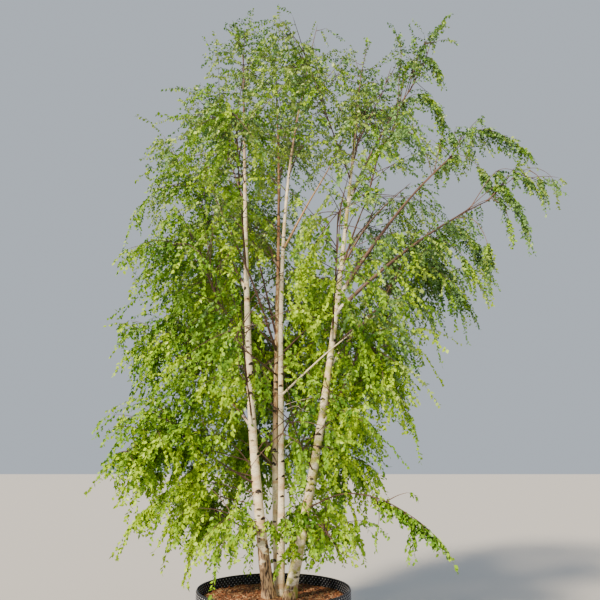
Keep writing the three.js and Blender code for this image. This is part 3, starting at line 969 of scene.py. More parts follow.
@dataclass
class StemSkin:
    """The skin of one stem, with the bark's relief and the scars of lost limbs."""

    stem: Stem
    sides: int = 32
    fine_step: float = 9 * MM  # between rings where the bark is seen well
    coarse_step: float = 32 * MM
    fine_to: float = 2.7
    buried: float = 12 * MM  # the foot reaches this far into the mulch
    plate_size: Triple = (0.012, 0.012, 0.06)  # the plates of the rough foot
    ripple_size: Triple = (0.05, 0.05, 0.018)
    swelling_size: Triple = (0.2, 0.2, 0.16)
    ripple: float = 0.35 * MM
    swelling: float = 0.05  # as a share of the radius
    ribs: int = 3  # the foot is ribbed
    rib_depth: float = 0.1
    rib_height: float = 0.1
    scars: int = 26
    scars_from: float = 0.1  # above the compost
    scars_over: float = 3.4
    scar_scale: Pair = (0.55, 0.7)  # the least size, and how much is left to chance
    scar_droop: float = 0.35  # how steeply the wings of a scar hang, which draws a flat chevron
    scar_width: float = 34 * MM
    scar_height: float = 15 * MM
    scar_swelling: float = 3.5 * MM

    @property
    def heights(self) -> Array:
        """The heights of the rings, rising from the foot to the tip."""
        top = self.stem.tip[2]
        low = np.arange(GROUND, self.fine_to, self.fine_step)
        high = np.arange(self.fine_to, top, self.coarse_step)
        return np.concatenate([low, high, [top]])

    def scar_at(self, angle: Array, height: Array, radius: Array) -> Array:
        """Finds how deep inside a scar each place of the bark lies.

        Args:
            angle: Angles round the stem.
            height: Heights above the floor.
            radius: The stem's radius there.

        Returns:
            0 on clear bark and 1 in the middle of a scar.
        """
        steps = np.arange(self.scars)
        seed = float(sum(map(ord, self.stem.name)))
        up = self.scars_over * (steps + 0.8 * chance(seed, steps)) / self.scars
        scar_height = GROUND + self.scars_from + up
        scar_angle = 2 * np.pi * chance(seed, steps + 50)
        least, more = self.scar_scale
        size = least + more * chance(seed, steps + 90)
        depth = np.zeros(np.broadcast(angle, height).shape)
        for middle, turn, scale in zip(scar_height, scar_angle, size):
            beside = np.abs((angle - turn + np.pi) % (2 * np.pi) - np.pi) * radius
            rise = height - middle + self.scar_droop * beside
            near = np.hypot(beside / self.scar_width, rise / self.scar_height) / scale
            depth = np.maximum(depth, np.clip(1.25 - near, 0, 1))
        return depth

    def build(self) -> None:
        """Builds the stem and dresses it."""
        stem = self.stem
        line = stem.line
        heights = self.heights
        shares = np.array([line.share_at_height(height) for height in heights])
        middles = line.at(shares)
        radius = stem.radius_at(shares)[:, None]
        angle = full_turn(self.sides)[None, :]
        up = heights[:, None] + 0 * angle
        around = np.stack([np.cos(angle) * radius, np.sin(angle) * radius, up], axis=-1)
        plates, ripples, swelling = (
            smooth_noise(around * np.array(scale_of(size)), seed)
            for size, seed in ((self.plate_size, 2.0), (self.ripple_size, 7.0), (self.swelling_size, 8.0))
        )
        above = up - GROUND
        scar = self.scar_at(angle, up, radius)
        ribs = self.rib_depth * np.cos(self.ribs * angle + 1.3 * len(stem.name))
        foot_top = stem.bark.plates_to - GROUND + 0.06
        rough = np.clip((foot_top - above) / 0.12, 0, 1)
        relief = (
            stem.plates_depth * rough * (0.35 - np.abs(plates))
            + self.ripple * ripples
            + self.swelling * radius * swelling
            + self.scar_swelling * scar * (1.2 - scar) * (1 - rough)
        )
        out = radius * (1 + ribs * np.exp(-above / self.rib_height)) + relief
        skin = np.stack(
            [
                middles[:, None, 0] + np.cos(angle) * out,
                middles[:, None, 1] + np.sin(angle) * out,
                np.where(above > 0, up, up - self.buried),
            ],
            axis=-1,
        )
        piece = Patch(skin, *capped_tube(len(heights), self.sides)).build(f"{stem.name}_bark")
        mark(piece, "scar", scar)
        finish_piece(piece, stem.bark.material(), stem.slot, [stem.name])


# Where boughs and leading shoots end, as shares of the way from their mass's middle to its wall.
BOUGH_STOPS_AT = 0.78
LEADER_ENDS = 0.72
# How far they rise above the straight way, and the knot of a leading shoot before the middle.
BOUGH_ARCH = 0.11
LEADER_ARCH = 0.25
LEADER_KNOT = 0.55


@dataclass(frozen=True)
class Mass:
    """One mass of foliage: an ellipsoid of space, and the limb that carries it.

    spread and depth are half its width and half its height. lift is where its leading shoot ends:
    up above 0, hanging below 0. fork is the height on the stem, or None at the stem's own tip.
    """

    name: str
    seed: int
    stem: Stem
    centre: Array
    spread: float
    depth: float
    lift: float
    fork: float | None
    bough: bool
    grown: float = 1.0  # how much taller it grows than its solid, to meet the tiers beside it

    @property
    def size(self) -> Array:
        """Half the mass's width, breadth and height."""
        return np.array([self.spread, self.spread, self.depth])

    @property
    def grown_size(self) -> Array:
        """Half its width, breadth and height with its finer shoots."""
        return self.size * (1, 1, self.grown)

    @property
    def bough_line(self) -> Line:
        """The bough's line, arching up from its stem and ending just inside the mass."""
        line = self.stem.line
        start = line.at(line.share_at_height(self.fork))
        along = unit(self.centre - start)
        inset = 1 / np.linalg.norm(along / self.size)
        end = self.centre - BOUGH_STOPS_AT * inset * along
        arch = BOUGH_ARCH * np.linalg.norm(end - start)
        return bezier(start, (start + end) / 2 + arch * UP, end)

    @property
    def leader_line(self) -> Line:
        """The leading shoot's line, from where it starts through the middle to its end."""
        if self.bough:
            start = self.bough_line.at(1)
        else:
            line = self.stem.line
            start = line.at(1 if self.fork is None else line.share_at_height(self.fork))
        outward = unit((self.centre - start) * (1, 1, 0))
        steep = abs(self.lift)
        end = (
            self.centre
            + outward * LEADER_ENDS * self.spread * math.sqrt(1 - steep**2)
            + UP * LEADER_ENDS * self.depth * self.lift
        )
        middle = self.centre + UP * LEADER_ARCH * self.depth * (1 - steep)
        return spline([start, start + LEADER_KNOT * (middle - start), middle, end])


CLUMP_AXIS = (0.060, 0.020)  # the middle of the tiers
FORK_STEP = 0.075  # how much higher each limb of a tier leaves its stem than the one before
LOWEST_FORK = 0.98
VARIETY = {"bearing": 0.2, "reach": 0.1, "height": 0.5}


@dataclass(frozen=True)
class Tier:
    """A tier of masses round the clump.

    first is the bearing of the first mass, in degrees from +X. lean makes the tier reach further
    to the right or, below zero, to the left. rise is how far a limb climbs to its mass.
    """

    name: str
    number: int
    count: int
    first: float
    height: float
    reach: float
    lean: float
    spread: float
    depth: float
    rise: float
    lift: float
    bough: bool
    grown: float = 1.0

    def masses(self) -> list[Mass]:
        """Places the tier's masses, evenly round the clump."""
        return [self.mass(k) for k in range(self.count)]

    def mass(self, k: int) -> Mass:
        """Places one mass.

        Args:
            k: Its number in the tier, from 0.

        Returns:
            The mass.
        """
        seed = 10 * self.number + k + 1
        turn = (k + VARIETY["bearing"] * (chance(seed, 1) - 0.5)) / self.count
        bearing = math.radians(self.first + 360 * turn)
        longer = 1 + VARIETY["reach"] * (chance(seed, 2) - 0.5)
        reach = self.reach * (1 + self.lean * math.cos(bearing)) * longer
        height = self.height + VARIETY["height"] * self.depth * (chance(seed, 3) - 0.5)
        towards = np.array([math.cos(bearing), math.sin(bearing), 0])
        centre = np.array([*CLUMP_AXIS, height]) + reach * towards
        fork = max(height - self.rise + FORK_STEP * (k - self.count / 2), LOWEST_FORK)
        stem = max(STEMS, key=lambda s: float(s.line.at(s.line.share_at_height(fork)) @ towards))
        name = f"{self.name}_{k + 1}"
        shape = self.spread, self.depth, self.lift
        return Mass(name, seed, stem, centre, *shape, fork, self.bough, self.grown)


TIERS = (
    Tier("skirt", 1, 4, 150, 1.150, 0.610, -0.45, 0.430, 0.420, 0.060, -0.6, False),
    Tier("low", 2, 4, 195, 1.790, 0.760, -0.38, 0.560, 0.480, 0.250, -0.45, False, 1.25),
    Tier("middle", 3, 5, 180, 2.560, 0.910, -0.06, 0.610, 0.500, 0.560, -0.3, True, 1.35),
    Tier("broad", 4, 5, 0, 3.380, 1.080, 0.17, 0.640, 0.520, 0.800, 0.0, True, 1.35),
    Tier("shoulder", 5, 5, 178, 4.220, 1.070, 0.12, 0.620, 0.520, 0.900, 0.25, True, 1.35),
    Tier("head", 6, 4, 185, 5.080, 0.800, 0.14, 0.540, 0.500, 0.800, 0.45, False, 1.35),
)


def leader_mass(number: int, stem: Stem) -> Mass:
    """Places the mass at the tip of a stem, which carries on as its leader."""
    way = np.array([0.9 * stem.tip_lean[0], 0.4 * stem.tip_lean[1], 1.0])
    centre = np.array(stem.tip) + 0.450 * way
    name = stem.name.replace("stem_", "leader_")
    return Mass(name, 80 + number, stem, centre, 0.400, 0.640, 0.95, None, False)


RIGHT_STEM = STEMS[3]
OUTLIERS = (
    Mass("far_right", 90, RIGHT_STEM, np.array([2.330, -0.060, 4.290]), 0.500, 0.360, -0.1, 2.950, True),
    Mass("upper_right", 91, RIGHT_STEM, np.array([1.960, 0.190, 4.900]), 0.480, 0.330, -0.1, 3.080, True),
    Mass("top_right", 92, RIGHT_STEM, np.array([1.540, 0.040, 5.700]), 0.370, 0.560, 0.9, 4.050, True),
    Mass("inner_right", 93, RIGHT_STEM, np.array([1.130, 0.150, 5.500]), 0.380, 0.520, 0.9, 4.600, False),
    Mass("trailing", 94, RIGHT_STEM, np.array([1.140, -0.430, 1.120]), 0.400, 0.400, -0.85, 1.230, False),
)


# Every mass of the crown, in the order of the solids.
MASSES = {
    mass.name: mass
    for mass in (
        *(mass for tier in TIERS for mass in tier.masses()),
        *(leader_mass(number, stem) for number, stem in enumerate(STEMS)),
        *OUTLIERS,
    )
}


@dataclass
class BoughSkin:
    """The skin of one bough, knotty and a little crooked, tapering into its mass."""

    mass: Mass
    finish: Material
    sides: int = 10
    step: float = 18 * MM
    tip_radius: float = 5.5 * MM
    taper: float = 0.0085
    least_radius: float = 10 * MM
    knots: float = 1.6 * MM
    knot_size: float = 0.03
    collar: float = 0.35  # the bough swells by this share where it leaves the stem
    collar_length: float = 0.05
    papery_to: float = 0.32  # the white paper fades out over this stretch

    def build(self) -> None:
        """Builds the bough and dresses it."""
        line = self.mass.bough_line
        rings = max(int(line.length / self.step), 12)
        shares = np.linspace(0, 1, rings)
        middles = line.at(shares)[None]
        root = max(self.tip_radius + self.taper * line.length, self.least_radius)
        radius = root + (self.tip_radius - root) * shares
        radius = radius * (1 + self.collar * np.exp(-shares * line.length / self.collar_length))
        ring = ring_directions(middles, self.sides)[0]
        bare = middles[0][:, None] + radius[:, None, None] * ring
        knots = smooth_noise(bare / self.knot_size, self.mass.seed) * self.knots
        name = f"bough_{self.mass.name}"
        skin = bare + knots[..., None] * ring
        piece = Patch(skin, *capped_tube(rings, self.sides)).build(f"{name}_bark")
        papery = np.clip(1 - shares * line.length / self.papery_to, 0, 1)
        mark(piece, "root", np.repeat(papery, self.sides))
        finish_piece(piece, self.finish, "dark_bark", [name])


# Crown


@dataclass(frozen=True)
class LeafShape:
    """The outline of a birch leaf, as shares of its length.

    It is a blunt wedge where it hangs on, broad at the shoulder and drawn out to a point, and is
    folded along its rib.
    """

    length: Pair = (31 * MM, 47 * MM)
    smaller_at_top: float = 0.28
    larger_inside: float = 0.15
    shoulder: Pair = (0.36, 0.4)
    waist: Pair = (0.2, 0.72)
    breadth: Pair = (0.85, 1.1)  # from the narrowest leaf to the broadest
    fold: Pair = (-0.1, 0.4)

    @property
    def outline(self) -> tuple[Array, Array]:
        """The corners, across and along from where it hangs on, and the faces."""
        (shoulder, low), (waist, high) = self.shoulder, self.waist
        corners = [(0, 0), (shoulder, low), (waist, high), (0, 1), (-waist, high), (-shoulder, low)]
        faces = [(0, 1, 2), (0, 2, 3), (0, 3, 4), (0, 4, 5)]
        return np.array(corners), np.array(faces)


class Tint(Enum):
    """The greens of the crown, painted lighter and darker for light and shade: from the sunlit skirts to the
    shaded middle, then the hazy sunlit top.
    """

    LIME = "#99BE0C"
    FRESH = "#7CA80E"
    SPRING = "#659210"
    MEADOW = "#507F14"
    MOSS = "#3C6817"
    SHADE = "#2A5019"
    OLIVE = "#8CAA48"
    SAGE = "#6A9250"


class LimbBark(Enum):
    """The barks that thin limbs have."""

    DARK = YoungBark("smooth limb bark")
    PALE = YoungBark("pale limb bark", deep="#E6DAB2", pale="#FCF4D8", dots="#A08A66")
    TAN = YoungBark("tan limb bark", deep="#8C6842", pale="#C9A26C", dots="#6B4F38")


@dataclass(frozen=True)
class Limb:
    """A thin limb that shows between the leaves, from its stem outward."""

    name: str
    points: tuple[Triple, ...]
    radius: float = 9 * MM
    tip_radius: float = 3 * MM
    bark: LimbBark = LimbBark.DARK
    leafy_from: float = 0.4
    lift: float = 0.0
    twigs_together: int = 1
    twig_share: float = 1.0  # how long its twigs are, as a share of the usual
    reach: float = 1.12
    guarded: bool = True  # whether the view of its bare part is kept open

    @property
    def line(self) -> Line:
        """The limb's line."""
        return spline([np.array(point) for point in self.points])


SPRIG = Limb(
    name="trailing",
    points=(
        (0.275, -0.062, 1.23),
        (0.58, -0.25, 1.36),
        (0.86, -0.37, 1.33),
        (1.14, -0.4, 1.18),
        (1.32, -0.41, 1.03),
    ),
    radius=7 * MM,
    leafy_from=0.38,
    lift=-0.6,
    twigs_together=3,
    twig_share=0.42,
    reach=1.6,
)


@dataclass(frozen=True)
class Spray(Limb):
    """A short leafy shoot that stands on a stem and is seen before it."""

    radius: float = 3.5 * MM
    tip_radius: float = 1.5 * MM
    leafy_from: float = 0.3
    twigs_together: int = 3
    twig_share: float = 0.4
    reach: float = 9.0
    guarded: bool = False


@dataclass(frozen=True)
class Hanging(Spray):
    """A long leafy shoot, which reaches out and hangs under its leaves."""

    radius: float = 5 * MM
    lift: float = -0.5
    twigs_together: int = 4
    twig_share: float = 0.6


@dataclass(frozen=True)
class Arc(Limb):
    """A thin pale twig, bare but for its end, that arches out between the stems."""

    radius: float = 2.6 * MM
    tip_radius: float = 1.2 * MM
    bark: LimbBark = LimbBark.PALE
    leafy_from: float = 0.85
    twig_share: float = 0.3
    reach: float = 9.0


def on_bough(name: str, share: float) -> Triple:
    """Finds the place at a share of the length of the bough that carries a mass."""
    return tuple(MASSES[name].bough_line.at(share))


# Each limb runs through its points, from inside what carries it.
LIMBS = (
    SPRIG,
    Spray("spray_foot_left", ((-0.1, -0.05, 0.99), (-0.14, -0.16, 1.06), (-0.17, -0.22, 1.01))),
    Spray("spray_foot_outer", ((-0.11, -0.05, 1.05), (-0.2, -0.14, 1.14), (-0.26, -0.2, 1.09))),
    Spray("spray_foot_middle", ((-0.12, -0.05, 1.14), (-0.08, -0.15, 1.17), (0.0, -0.21, 1.1))),
    Spray("spray_foot_front", ((0.065, 0.045, 1.1), (0.08, -0.1, 1.17), (0.1, -0.2, 1.11))),
    Spray("spray_foot_between", ((0.07, 0.045, 1.22), (0.14, -0.05, 1.26), (0.2, -0.14, 1.22))),
    Spray("spray_foot_right", ((0.19, -0.06, 0.95), (0.17, -0.16, 0.98), (0.12, -0.22, 0.92))),
    Spray("spray_foot_far", ((0.25, -0.06, 1.1), (0.42, -0.16, 1.14), (0.54, -0.22, 1.06))),
    Spray("spray_right", ((0.26, -0.06, 1.17), (0.27, -0.15, 1.23), (0.24, -0.22, 1.2))),
    Spray("spray_right_upper", ((0.31, -0.07, 1.42), (0.31, -0.15, 1.5), (0.27, -0.22, 1.47))),
    Spray("spray_left_upper", ((-0.225, -0.07, 2.3), (-0.24, -0.15, 2.38), (-0.21, -0.21, 2.36))),
    Spray("spray_middle", ((0.055, 0.045, 1.66), (0.07, -0.05, 1.72), (0.1, -0.12, 1.66))),
    Hanging(
        "skirt_far", ((-0.21, -0.08, 1.62), (-0.59, -0.25, 1.72), (-1.0, -0.3, 1.74), (-1.26, -0.3, 1.7))
    ),
    Hanging(
        "skirt_inner",
        ((-0.2, -0.08, 1.5), (-0.55, -0.2, 1.58), (-0.9, -0.22, 1.56), (-1.1, -0.24, 1.5)),
    ),
    Hanging(
        "skirt_long", ((-0.17, -0.07, 1.36), (-0.62, -0.3, 1.46), (-0.88, -0.35, 1.38), (-1.06, -0.35, 1.22))
    ),
    Hanging(
        "skirt_short",
        ((-0.15, -0.06, 1.26), (-0.55, -0.3, 1.34), (-0.69, -0.35, 1.26), (-0.78, -0.35, 1.15)),
    ),
    Hanging(
        "skirt_low", ((-0.12, -0.06, 1.12), (-0.42, -0.25, 1.18), (-0.56, -0.3, 1.12), (-0.64, -0.3, 1.04))
    ),
    Hanging(
        "right_column",
        (on_bough("far_right", 0.8), (1.88, -0.13, 3.86), (1.97, -0.2, 3.62), (1.97, -0.2, 3.42)),
    ),
    Hanging(
        "right_high", (on_bough("far_right", 0.6), (1.7, 0.3, 4.02), (2.02, 0.4, 3.86), (2.12, 0.45, 3.62))
    ),
    Hanging(
        "right_front",
        (on_bough("broad_1", 0.9), (1.37, -0.3, 3.62), (1.62, -0.35, 3.5), (1.74, -0.4, 3.3)),
    ),
    Hanging(
        "right_back", (on_bough("broad_1", 0.95), (1.45, 0.3, 3.62), (1.75, 0.4, 3.46), (1.9, 0.45, 3.22))
    ),
    Hanging(
        "arm_upper",
        (on_bough("upper_right", 0.94), (2.12, 0.16, 5.0), (2.35, 0.12, 4.9), (2.55, 0.1, 4.72)),
        twig_share=0.52,
    ),
    Hanging(
        "arm_upper_left", (on_bough("upper_right", 0.86), (1.76, 0.15, 5.02), (1.8, 0.12, 4.9)),
        twig_share=0.46,
    ),
    Hanging(
        "arm_middle",
        (on_bough("upper_right", 0.74), (1.86, 0.12, 4.68), (2.02, 0.1, 4.57), (2.13, 0.05, 4.36)),
        twig_share=0.54,
    ),
    Hanging(
        "arm_end_upper",
        (on_bough("far_right", 0.88), (2.2, -0.06, 4.42), (2.36, -0.06, 4.41), (2.5, -0.06, 4.3)),
        twig_share=0.52,
    ),
    Hanging(
        "arm_end",
        (on_bough("far_right", 0.98), (2.52, -0.06, 4.44), (2.68, -0.06, 4.38), (2.75, -0.06, 4.26)),
        twig_share=0.46,
    ),
    Hanging("arm_drop", ((2.5, -0.06, 4.42), (2.58, -0.07, 4.34), (2.61, -0.08, 4.22)), twig_share=0.46),
    Hanging(
        "arm_low",
        (on_bough("far_right", 0.7), (2.05, -0.08, 4.09), (2.3, -0.08, 4.1), (2.4, -0.08, 3.84)),
        twig_share=0.46,
    ),
    Hanging(
        "arm_low_near", ((2.1, -0.08, 4.095), (2.2, -0.09, 4.02), (2.24, -0.09, 3.88)), twig_share=0.46
    ),
    Hanging(
        "arm_near", (on_bough("far_right", 0.84), (2.2, -0.1, 4.25), (2.26, -0.1, 4.15)), twig_share=0.46
    ),
    Hanging(
        "top_thin",
        (on_bough("top_right", 0.84), (1.275, 0.04, 5.62), (1.305, 0.04, 5.86), (1.26, 0.04, 6.08)),
        twigs_together=2, twig_share=0.4, lift=0.5,
    ),
    Hanging(
        "top_lead", (on_bough("top_right", 0.97), (1.53, 0.04, 5.92), (1.65, 0.04, 6.07), (1.77, 0.04, 6.24)),
        twig_share=0.44, lift=0.5,
    ),
    Hanging(
        "top_side", ((1.56, 0.04, 5.96), (1.66, 0.03, 5.97), (1.73, 0.02, 5.99)),
        twigs_together=2, twig_share=0.4,
    ),
    Hanging(
        "top_drop", (on_bough("top_right", 0.92), (1.5, 0.03, 5.79), (1.62, 0.02, 5.76), (1.69, 0.02, 5.58)),
        twig_share=0.44,
    ),
    Hanging(
        "top_low", (on_bough("top_right", 0.6), (1.42, 0.04, 5.34), (1.6, 0.04, 5.28), (1.7, 0.04, 5.05)),
        twig_share=0.54,
    ),
    Hanging(
        "top_inner", (on_bough("top_right", 0.86), (1.38, 0.0, 5.72), (1.44, -0.02, 5.68)),
        twigs_together=2, twig_share=0.44,
    ),
    Hanging(
        "trailing_bunch", ((1.06, -0.39, 1.22), (1.12, -0.41, 1.12), (1.11, -0.42, 1.04)),
        twigs_together=2, twig_share=0.4,
    ),
    Hanging(
        "trailing_upper", ((0.92, -0.38, 1.31), (1.02, -0.4, 1.36), (1.09, -0.42, 1.38)),
        twigs_together=2, twig_share=0.3,
    ),
    Hanging(
        "trailing_thin", ((0.84, -0.37, 1.34), (0.86, -0.365, 1.2), (0.845, -0.36, 1.1)),
        twigs_together=1, twig_share=0.3,
    ),
    Arc(
        "arc_upper", ((0.085, 0.045, 2.12), (0.194, 0.0, 2.151), (0.267, -0.03, 2.164), (0.358, -0.06, 2.184))
    ),
    Arc(
        "arc_middle", ((0.09, 0.04, 2.08), (0.193, 0.0, 2.105), (0.247, -0.03, 2.066), (0.338, -0.05, 2.046))
    ),
    Arc(
        "arc_lower", ((0.085, 0.045, 1.74), (0.156, 0.02, 1.794), (0.238, -0.02, 1.82), (0.332, -0.05, 1.823))
    ),
    Limb(
        "crossing",
        ((0.045, 0.045, 2.2), (0.293, -0.06, 2.424), (0.503, -0.16, 2.599), (0.898, -0.36, 2.876)),
        radius=10 * MM, bark=LimbBark.PALE, leafy_from=0.72,
    ),
    Limb("inner_red", ((0.045, 0.045, 2.59), (0.255, 0.1, 2.809), (0.429, 0.16, 3.004)), 8 * MM),
    Limb(
        "long_left",
        ((0.0, 0.22, 2.62), (-0.197, -0.19, 3.162), (-0.412, -0.36, 3.641), (-0.6, -0.46, 4.05)),
        radius=13 * MM,
    ),
    Limb(
        "second_left", ((0.0, 0.22, 2.75), (-0.152, 0.12, 3.383), (-0.265, 0.14, 3.802), (-0.4, 0.16, 4.3)),
        radius=11 * MM,
    ),
    Limb(
        "low_left", ((0.0, 0.19, 2.41), (-0.183, -0.17, 2.516), (-0.31, -0.3, 2.592), (-0.52, -0.45, 2.72)),
        radius=9 * MM,
    ),
    Limb("back_left", ((-0.005, 0.21, 2.68), (-0.135, 0.0, 2.779), (-0.4, -0.02, 3.05)), 9 * MM),
    Limb("short_left", ((-0.005, 0.17, 1.57), (-0.133, 0.2, 1.691), (-0.36, 0.24, 1.83)), 8 * MM),
    Limb(
        "knuckle_right",
        ((0.058, 0.042, 3.62), (0.3, 0.05, 4.103), (0.522, 0.08, 4.524), (0.68, 0.1, 4.9)),
        radius=12 * MM, bark=LimbBark.TAN, leafy_from=0.7,
    ),
    Limb(
        "right_riser",
        ((0.6, -0.08, 3.36), (0.82, -0.1, 3.746), (0.992, -0.12, 3.958), (1.3, -0.15, 4.24)),
        radius=14 * MM, leafy_from=0.7,
    ),
    Limb("low_right", ((0.51, -0.075, 2.6), (0.696, -0.12, 2.783), (0.98, -0.2, 2.92)), 9 * MM),
)


@dataclass
class LimbSkin:
    """The skins of the thin limbs, joined into one piece for each bark."""

    masses: list[Mass]
    sides: int = 8
    rings: int = 40

    def build(self) -> None:
        """Builds the limbs and dresses them."""
        nodes = [f"foliage_{mass.name}" for mass in self.masses]
        share = np.linspace(0, 1, self.rings)
        for bark in LimbBark:
            patch = Patch()
            limbs = [limb for limb in LIMBS if limb.bark is bark]
            log.info("%s: %s", bark.value.name, ", ".join(limb.name for limb in limbs))
            for limb in limbs:
                radii = limb.radius + (limb.tip_radius - limb.radius) * share
                patch.add(*pointed_tubes(limb.line.at(share)[None], radii, self.sides))
            piece = patch.build(bark.value.name.replace(" ", "_"))
            finish_piece(piece, bark.value.material(), "dark_bark", nodes)


@dataclass(frozen=True)
class SkyGap:
    """A place where sky shows between the leaves, or where they crowd.

    middle and half are its middle and half its size, across and up, in the upright plane of the
    stems as the camera sees it. kept is the share of twigs kept there.
    """

    middle: Pair
    half: Pair
    kept: float


SKY_GAPS = (
    SkyGap((0.30, 6.84), (1.60, 0.46), 0.0),  # over the top
    SkyGap((0.42, 6.13), (0.38, 0.30), 0.1),  # right of the topmost shoots
    SkyGap((0.42, 5.75), (0.18, 0.20), 0.7),
    SkyGap((0.99, 5.91), (0.28, 0.38), 0.2),
    SkyGap((1.82, 5.85), (0.34, 0.80), 0.0),  # beyond the right leader
    SkyGap((1.95, 5.35), (0.35, 0.25), 0.0),
    SkyGap((0.69, 5.51), (0.19, 0.32), 0.5),
    SkyGap((1.32, 5.34), (0.19, 0.22), 0.35),
    SkyGap((1.70, 4.81), (0.24, 0.30), 0.3),  # over the long right boughs
    SkyGap((2.48, 4.60), (0.50, 0.40), 0.25),
    SkyGap((2.10, 4.07), (0.45, 0.28), 0.15),  # between and under them
    SkyGap((2.45, 3.80), (0.40, 0.40), 0.0),
    SkyGap((1.71, 4.18), (0.26, 0.26), 0.3),
    SkyGap((1.21, 4.12), (0.28, 0.26), 0.5),
    SkyGap((0.54, 3.85), (0.27, 0.38), 0.3),  # between the stems
    SkyGap((0.62, 3.35), (0.26, 0.40), 0.6),
    SkyGap((1.05, 4.25), (0.50, 0.60), 0.6),
    SkyGap((0.95, 3.70), (0.31, 0.23), 0.6),
    SkyGap((0.07, 4.23), (0.14, 0.20), 0.7),
    SkyGap((-0.31, 5.95), (0.30, 0.30), 1.6),  # the dense top on the left
    SkyGap((1.90, 3.45), (0.35, 0.45), 1.3),  # the dense right edge
    SkyGap((0.05, 0.60), (0.90, 0.18), 0.0),  # over the container
)


@dataclass
class Growth:
    """How the crown is carried on from the leaders: shoots, twigs on them and leaves on those."""

    shoots: int = 24  # on a mass of the usual size
    least_shoots: int = 8
    usual_size: float = 0.56
    overlap: float = 0.2  # how far a shoot may grow into a neighbour's space
    drawn_in: float = 0.1  # one that goes further is drawn in by this, again and again
    times_drawn: int = 20
    edge: float = 12 * MM  # shoots end this far inside the whole tree's box
    leader_places: int = 41  # where shoots may start
    bough_places: int = 14
    leafy_bough: Pair = (0.55, 0.98)
    first_place: int = 12
    first_at_tip: int = 3  # where the leader carries on a stem's own tip
    earlier: int = 2  # places from where a shoot starts to the one nearest its end
    staggered: int = 16  # the further places that the starts of shoots are spread over
    leader_radii: Pair = (9 * MM, 2.5 * MM)
    leader_points: int = 14
    shoot_radii: Pair = (4.5 * MM, 1.6 * MM)
    shoot_points: int = 7
    shoot_arch: float = 0.16
    shoot_rise: float = 0.3  # how much less a shoot arches in an upright mass
    shoot_ends: Triple = (0.55, 0.8, 1.0)  # shoots end on one of these shells, by turns
    twig_step: float = 31 * MM
    least_twigs: int = 3
    twigs_from: float = 0.16  # the share of a shoot that is bare
    twig_length: Pair = (0.11, 0.28)
    tip_share: float = 1.7  # how much longer the twig at a shoot's end is
    twig_heading: Triple = (0.5, 0.75, 1.2)  # along, aside, and along at the shoot's end
    twig_lift: Pair = (-0.9, 0.6)  # the least, and how much is left to chance
    upright_lift: Pair = (0.55, 0.5)  # how much more in an upright mass, and at the end
    tip_lift: float = 0.3  # the share of it that the twig at the end has
    twig_wander: float = 0.6
    twig_radius: float = 1.3 * MM
    twig_points: int = 3
    droop: float = 0.5
    leaf_step: float = 13.5 * MM
    least_leaves: int = 4
    leaf_heading: Triple = (0.45, 0.7, -0.55)  # along, aside and up
    leaf_facing: Pair = (0.7, 0.6)  # up, and how much is left to chance
    jitter: float = 0.45
    feather_step: float = 0.17  # thin branches along the stems, one at each step of height
    feather_from: float = 1.5
    bare_front_to: float = 3.4  # none cross the front of the stems below this height
    bare_front: float = -0.6  # the sine of the bearing where the front begins
    feather_length: Pair = (0.95, 0.4)
    feather_radius: float = 1.3  # against a shoot's
    limb_points: int = 12
    bunch: Triple = (0.13, 0.13, 0.24)  # how large the bunches and the gaps between them are
    bunch_shares: tuple[float, ...] = (0.0, 0.1, 0.25, 0.5, 0.75, 0.9, 1.0)  # shares of space
    bunch_levels: tuple[float, ...] = (1.0, 0.5, 0.27, 0.0, -0.27, -0.5, -1.0)  # exceeded in them
    bunch_edge: float = 0.08  # how softly a bunch ends
    gap_edge: Pair = (0.7, 1.2)  # how softly a gap in the crown does
    clump: float = 0.09  # how large the clumps of twigs on a hanging shoot are
    clump_level: float = -0.08
    end_clump: float = 0.85  # and each has one from here to its end
    barest: float = 0.2  # a shoot with a smaller share of its twigs left isn't grown
    heights: tuple[float, ...] = (2.2, 3.0, 3.8, 4.8, 6.2)
    crowding: tuple[float, ...] = (0.84, 0.76, 0.68, 0.62, 0.6)  # the share in bunches at each
    thinner_right: Pair = (0.3, 1.0)  # the crown thins out between these places
    thinner_over: Pair = (3.0, 4.0)  # and above these heights
    thinnest: float = 0.84
    reach: float = 1.18  # twigs end within this share of a mass's size
    tip_reach: float = 1.5  # and the twigs at the ends of shoots within this share
    bough_reach: float = 1.7
    feather_reach: float = 1.4
    twig_margin: float = 20 * MM  # how far beside a bare limb twigs and leaves are thinned
    leaf_margin: float = 12 * MM
    clear: float = 6 * MM  # how far off the stems they stay
    # The greens are dealt out as painted light and shade: darker with height, inside the masses and in
    # patches, cooler away from the key light and at the back, and paler at the sunlit top; a little is left
    # to chance.
    darkest: float = 0.11  # the painted shade of the lightest place, and what is added to it
    painted_shade_up: float = 0.18
    painted_shade_inside: float = 0.4
    painted_light_and_shade_patches: float = 0.25
    darker_by_chance: float = 0.12
    tint_patch: float = 0.32  # how wide a patch of painted light, and of painted shade, is
    cool_from: float = 0.25  # painted shade: the greens turn cooler to the right of this, away from the light
    cool_over: float = 1.0
    cool_behind: float = 0.6  # painted shade: how much cooler they are at the back
    cool: Triple = (0.1, 0.5, 0.45)  # the least share of cool painted shade, and more with the shade and away from the light
    hazy_heights: Pair = (0.4, 0.8)  # painted light: they turn to the hazy, paler greens of the sunlit top between these shares of the tree's height
    haziest: float = 0.8
    hazy_away: float = 0.22


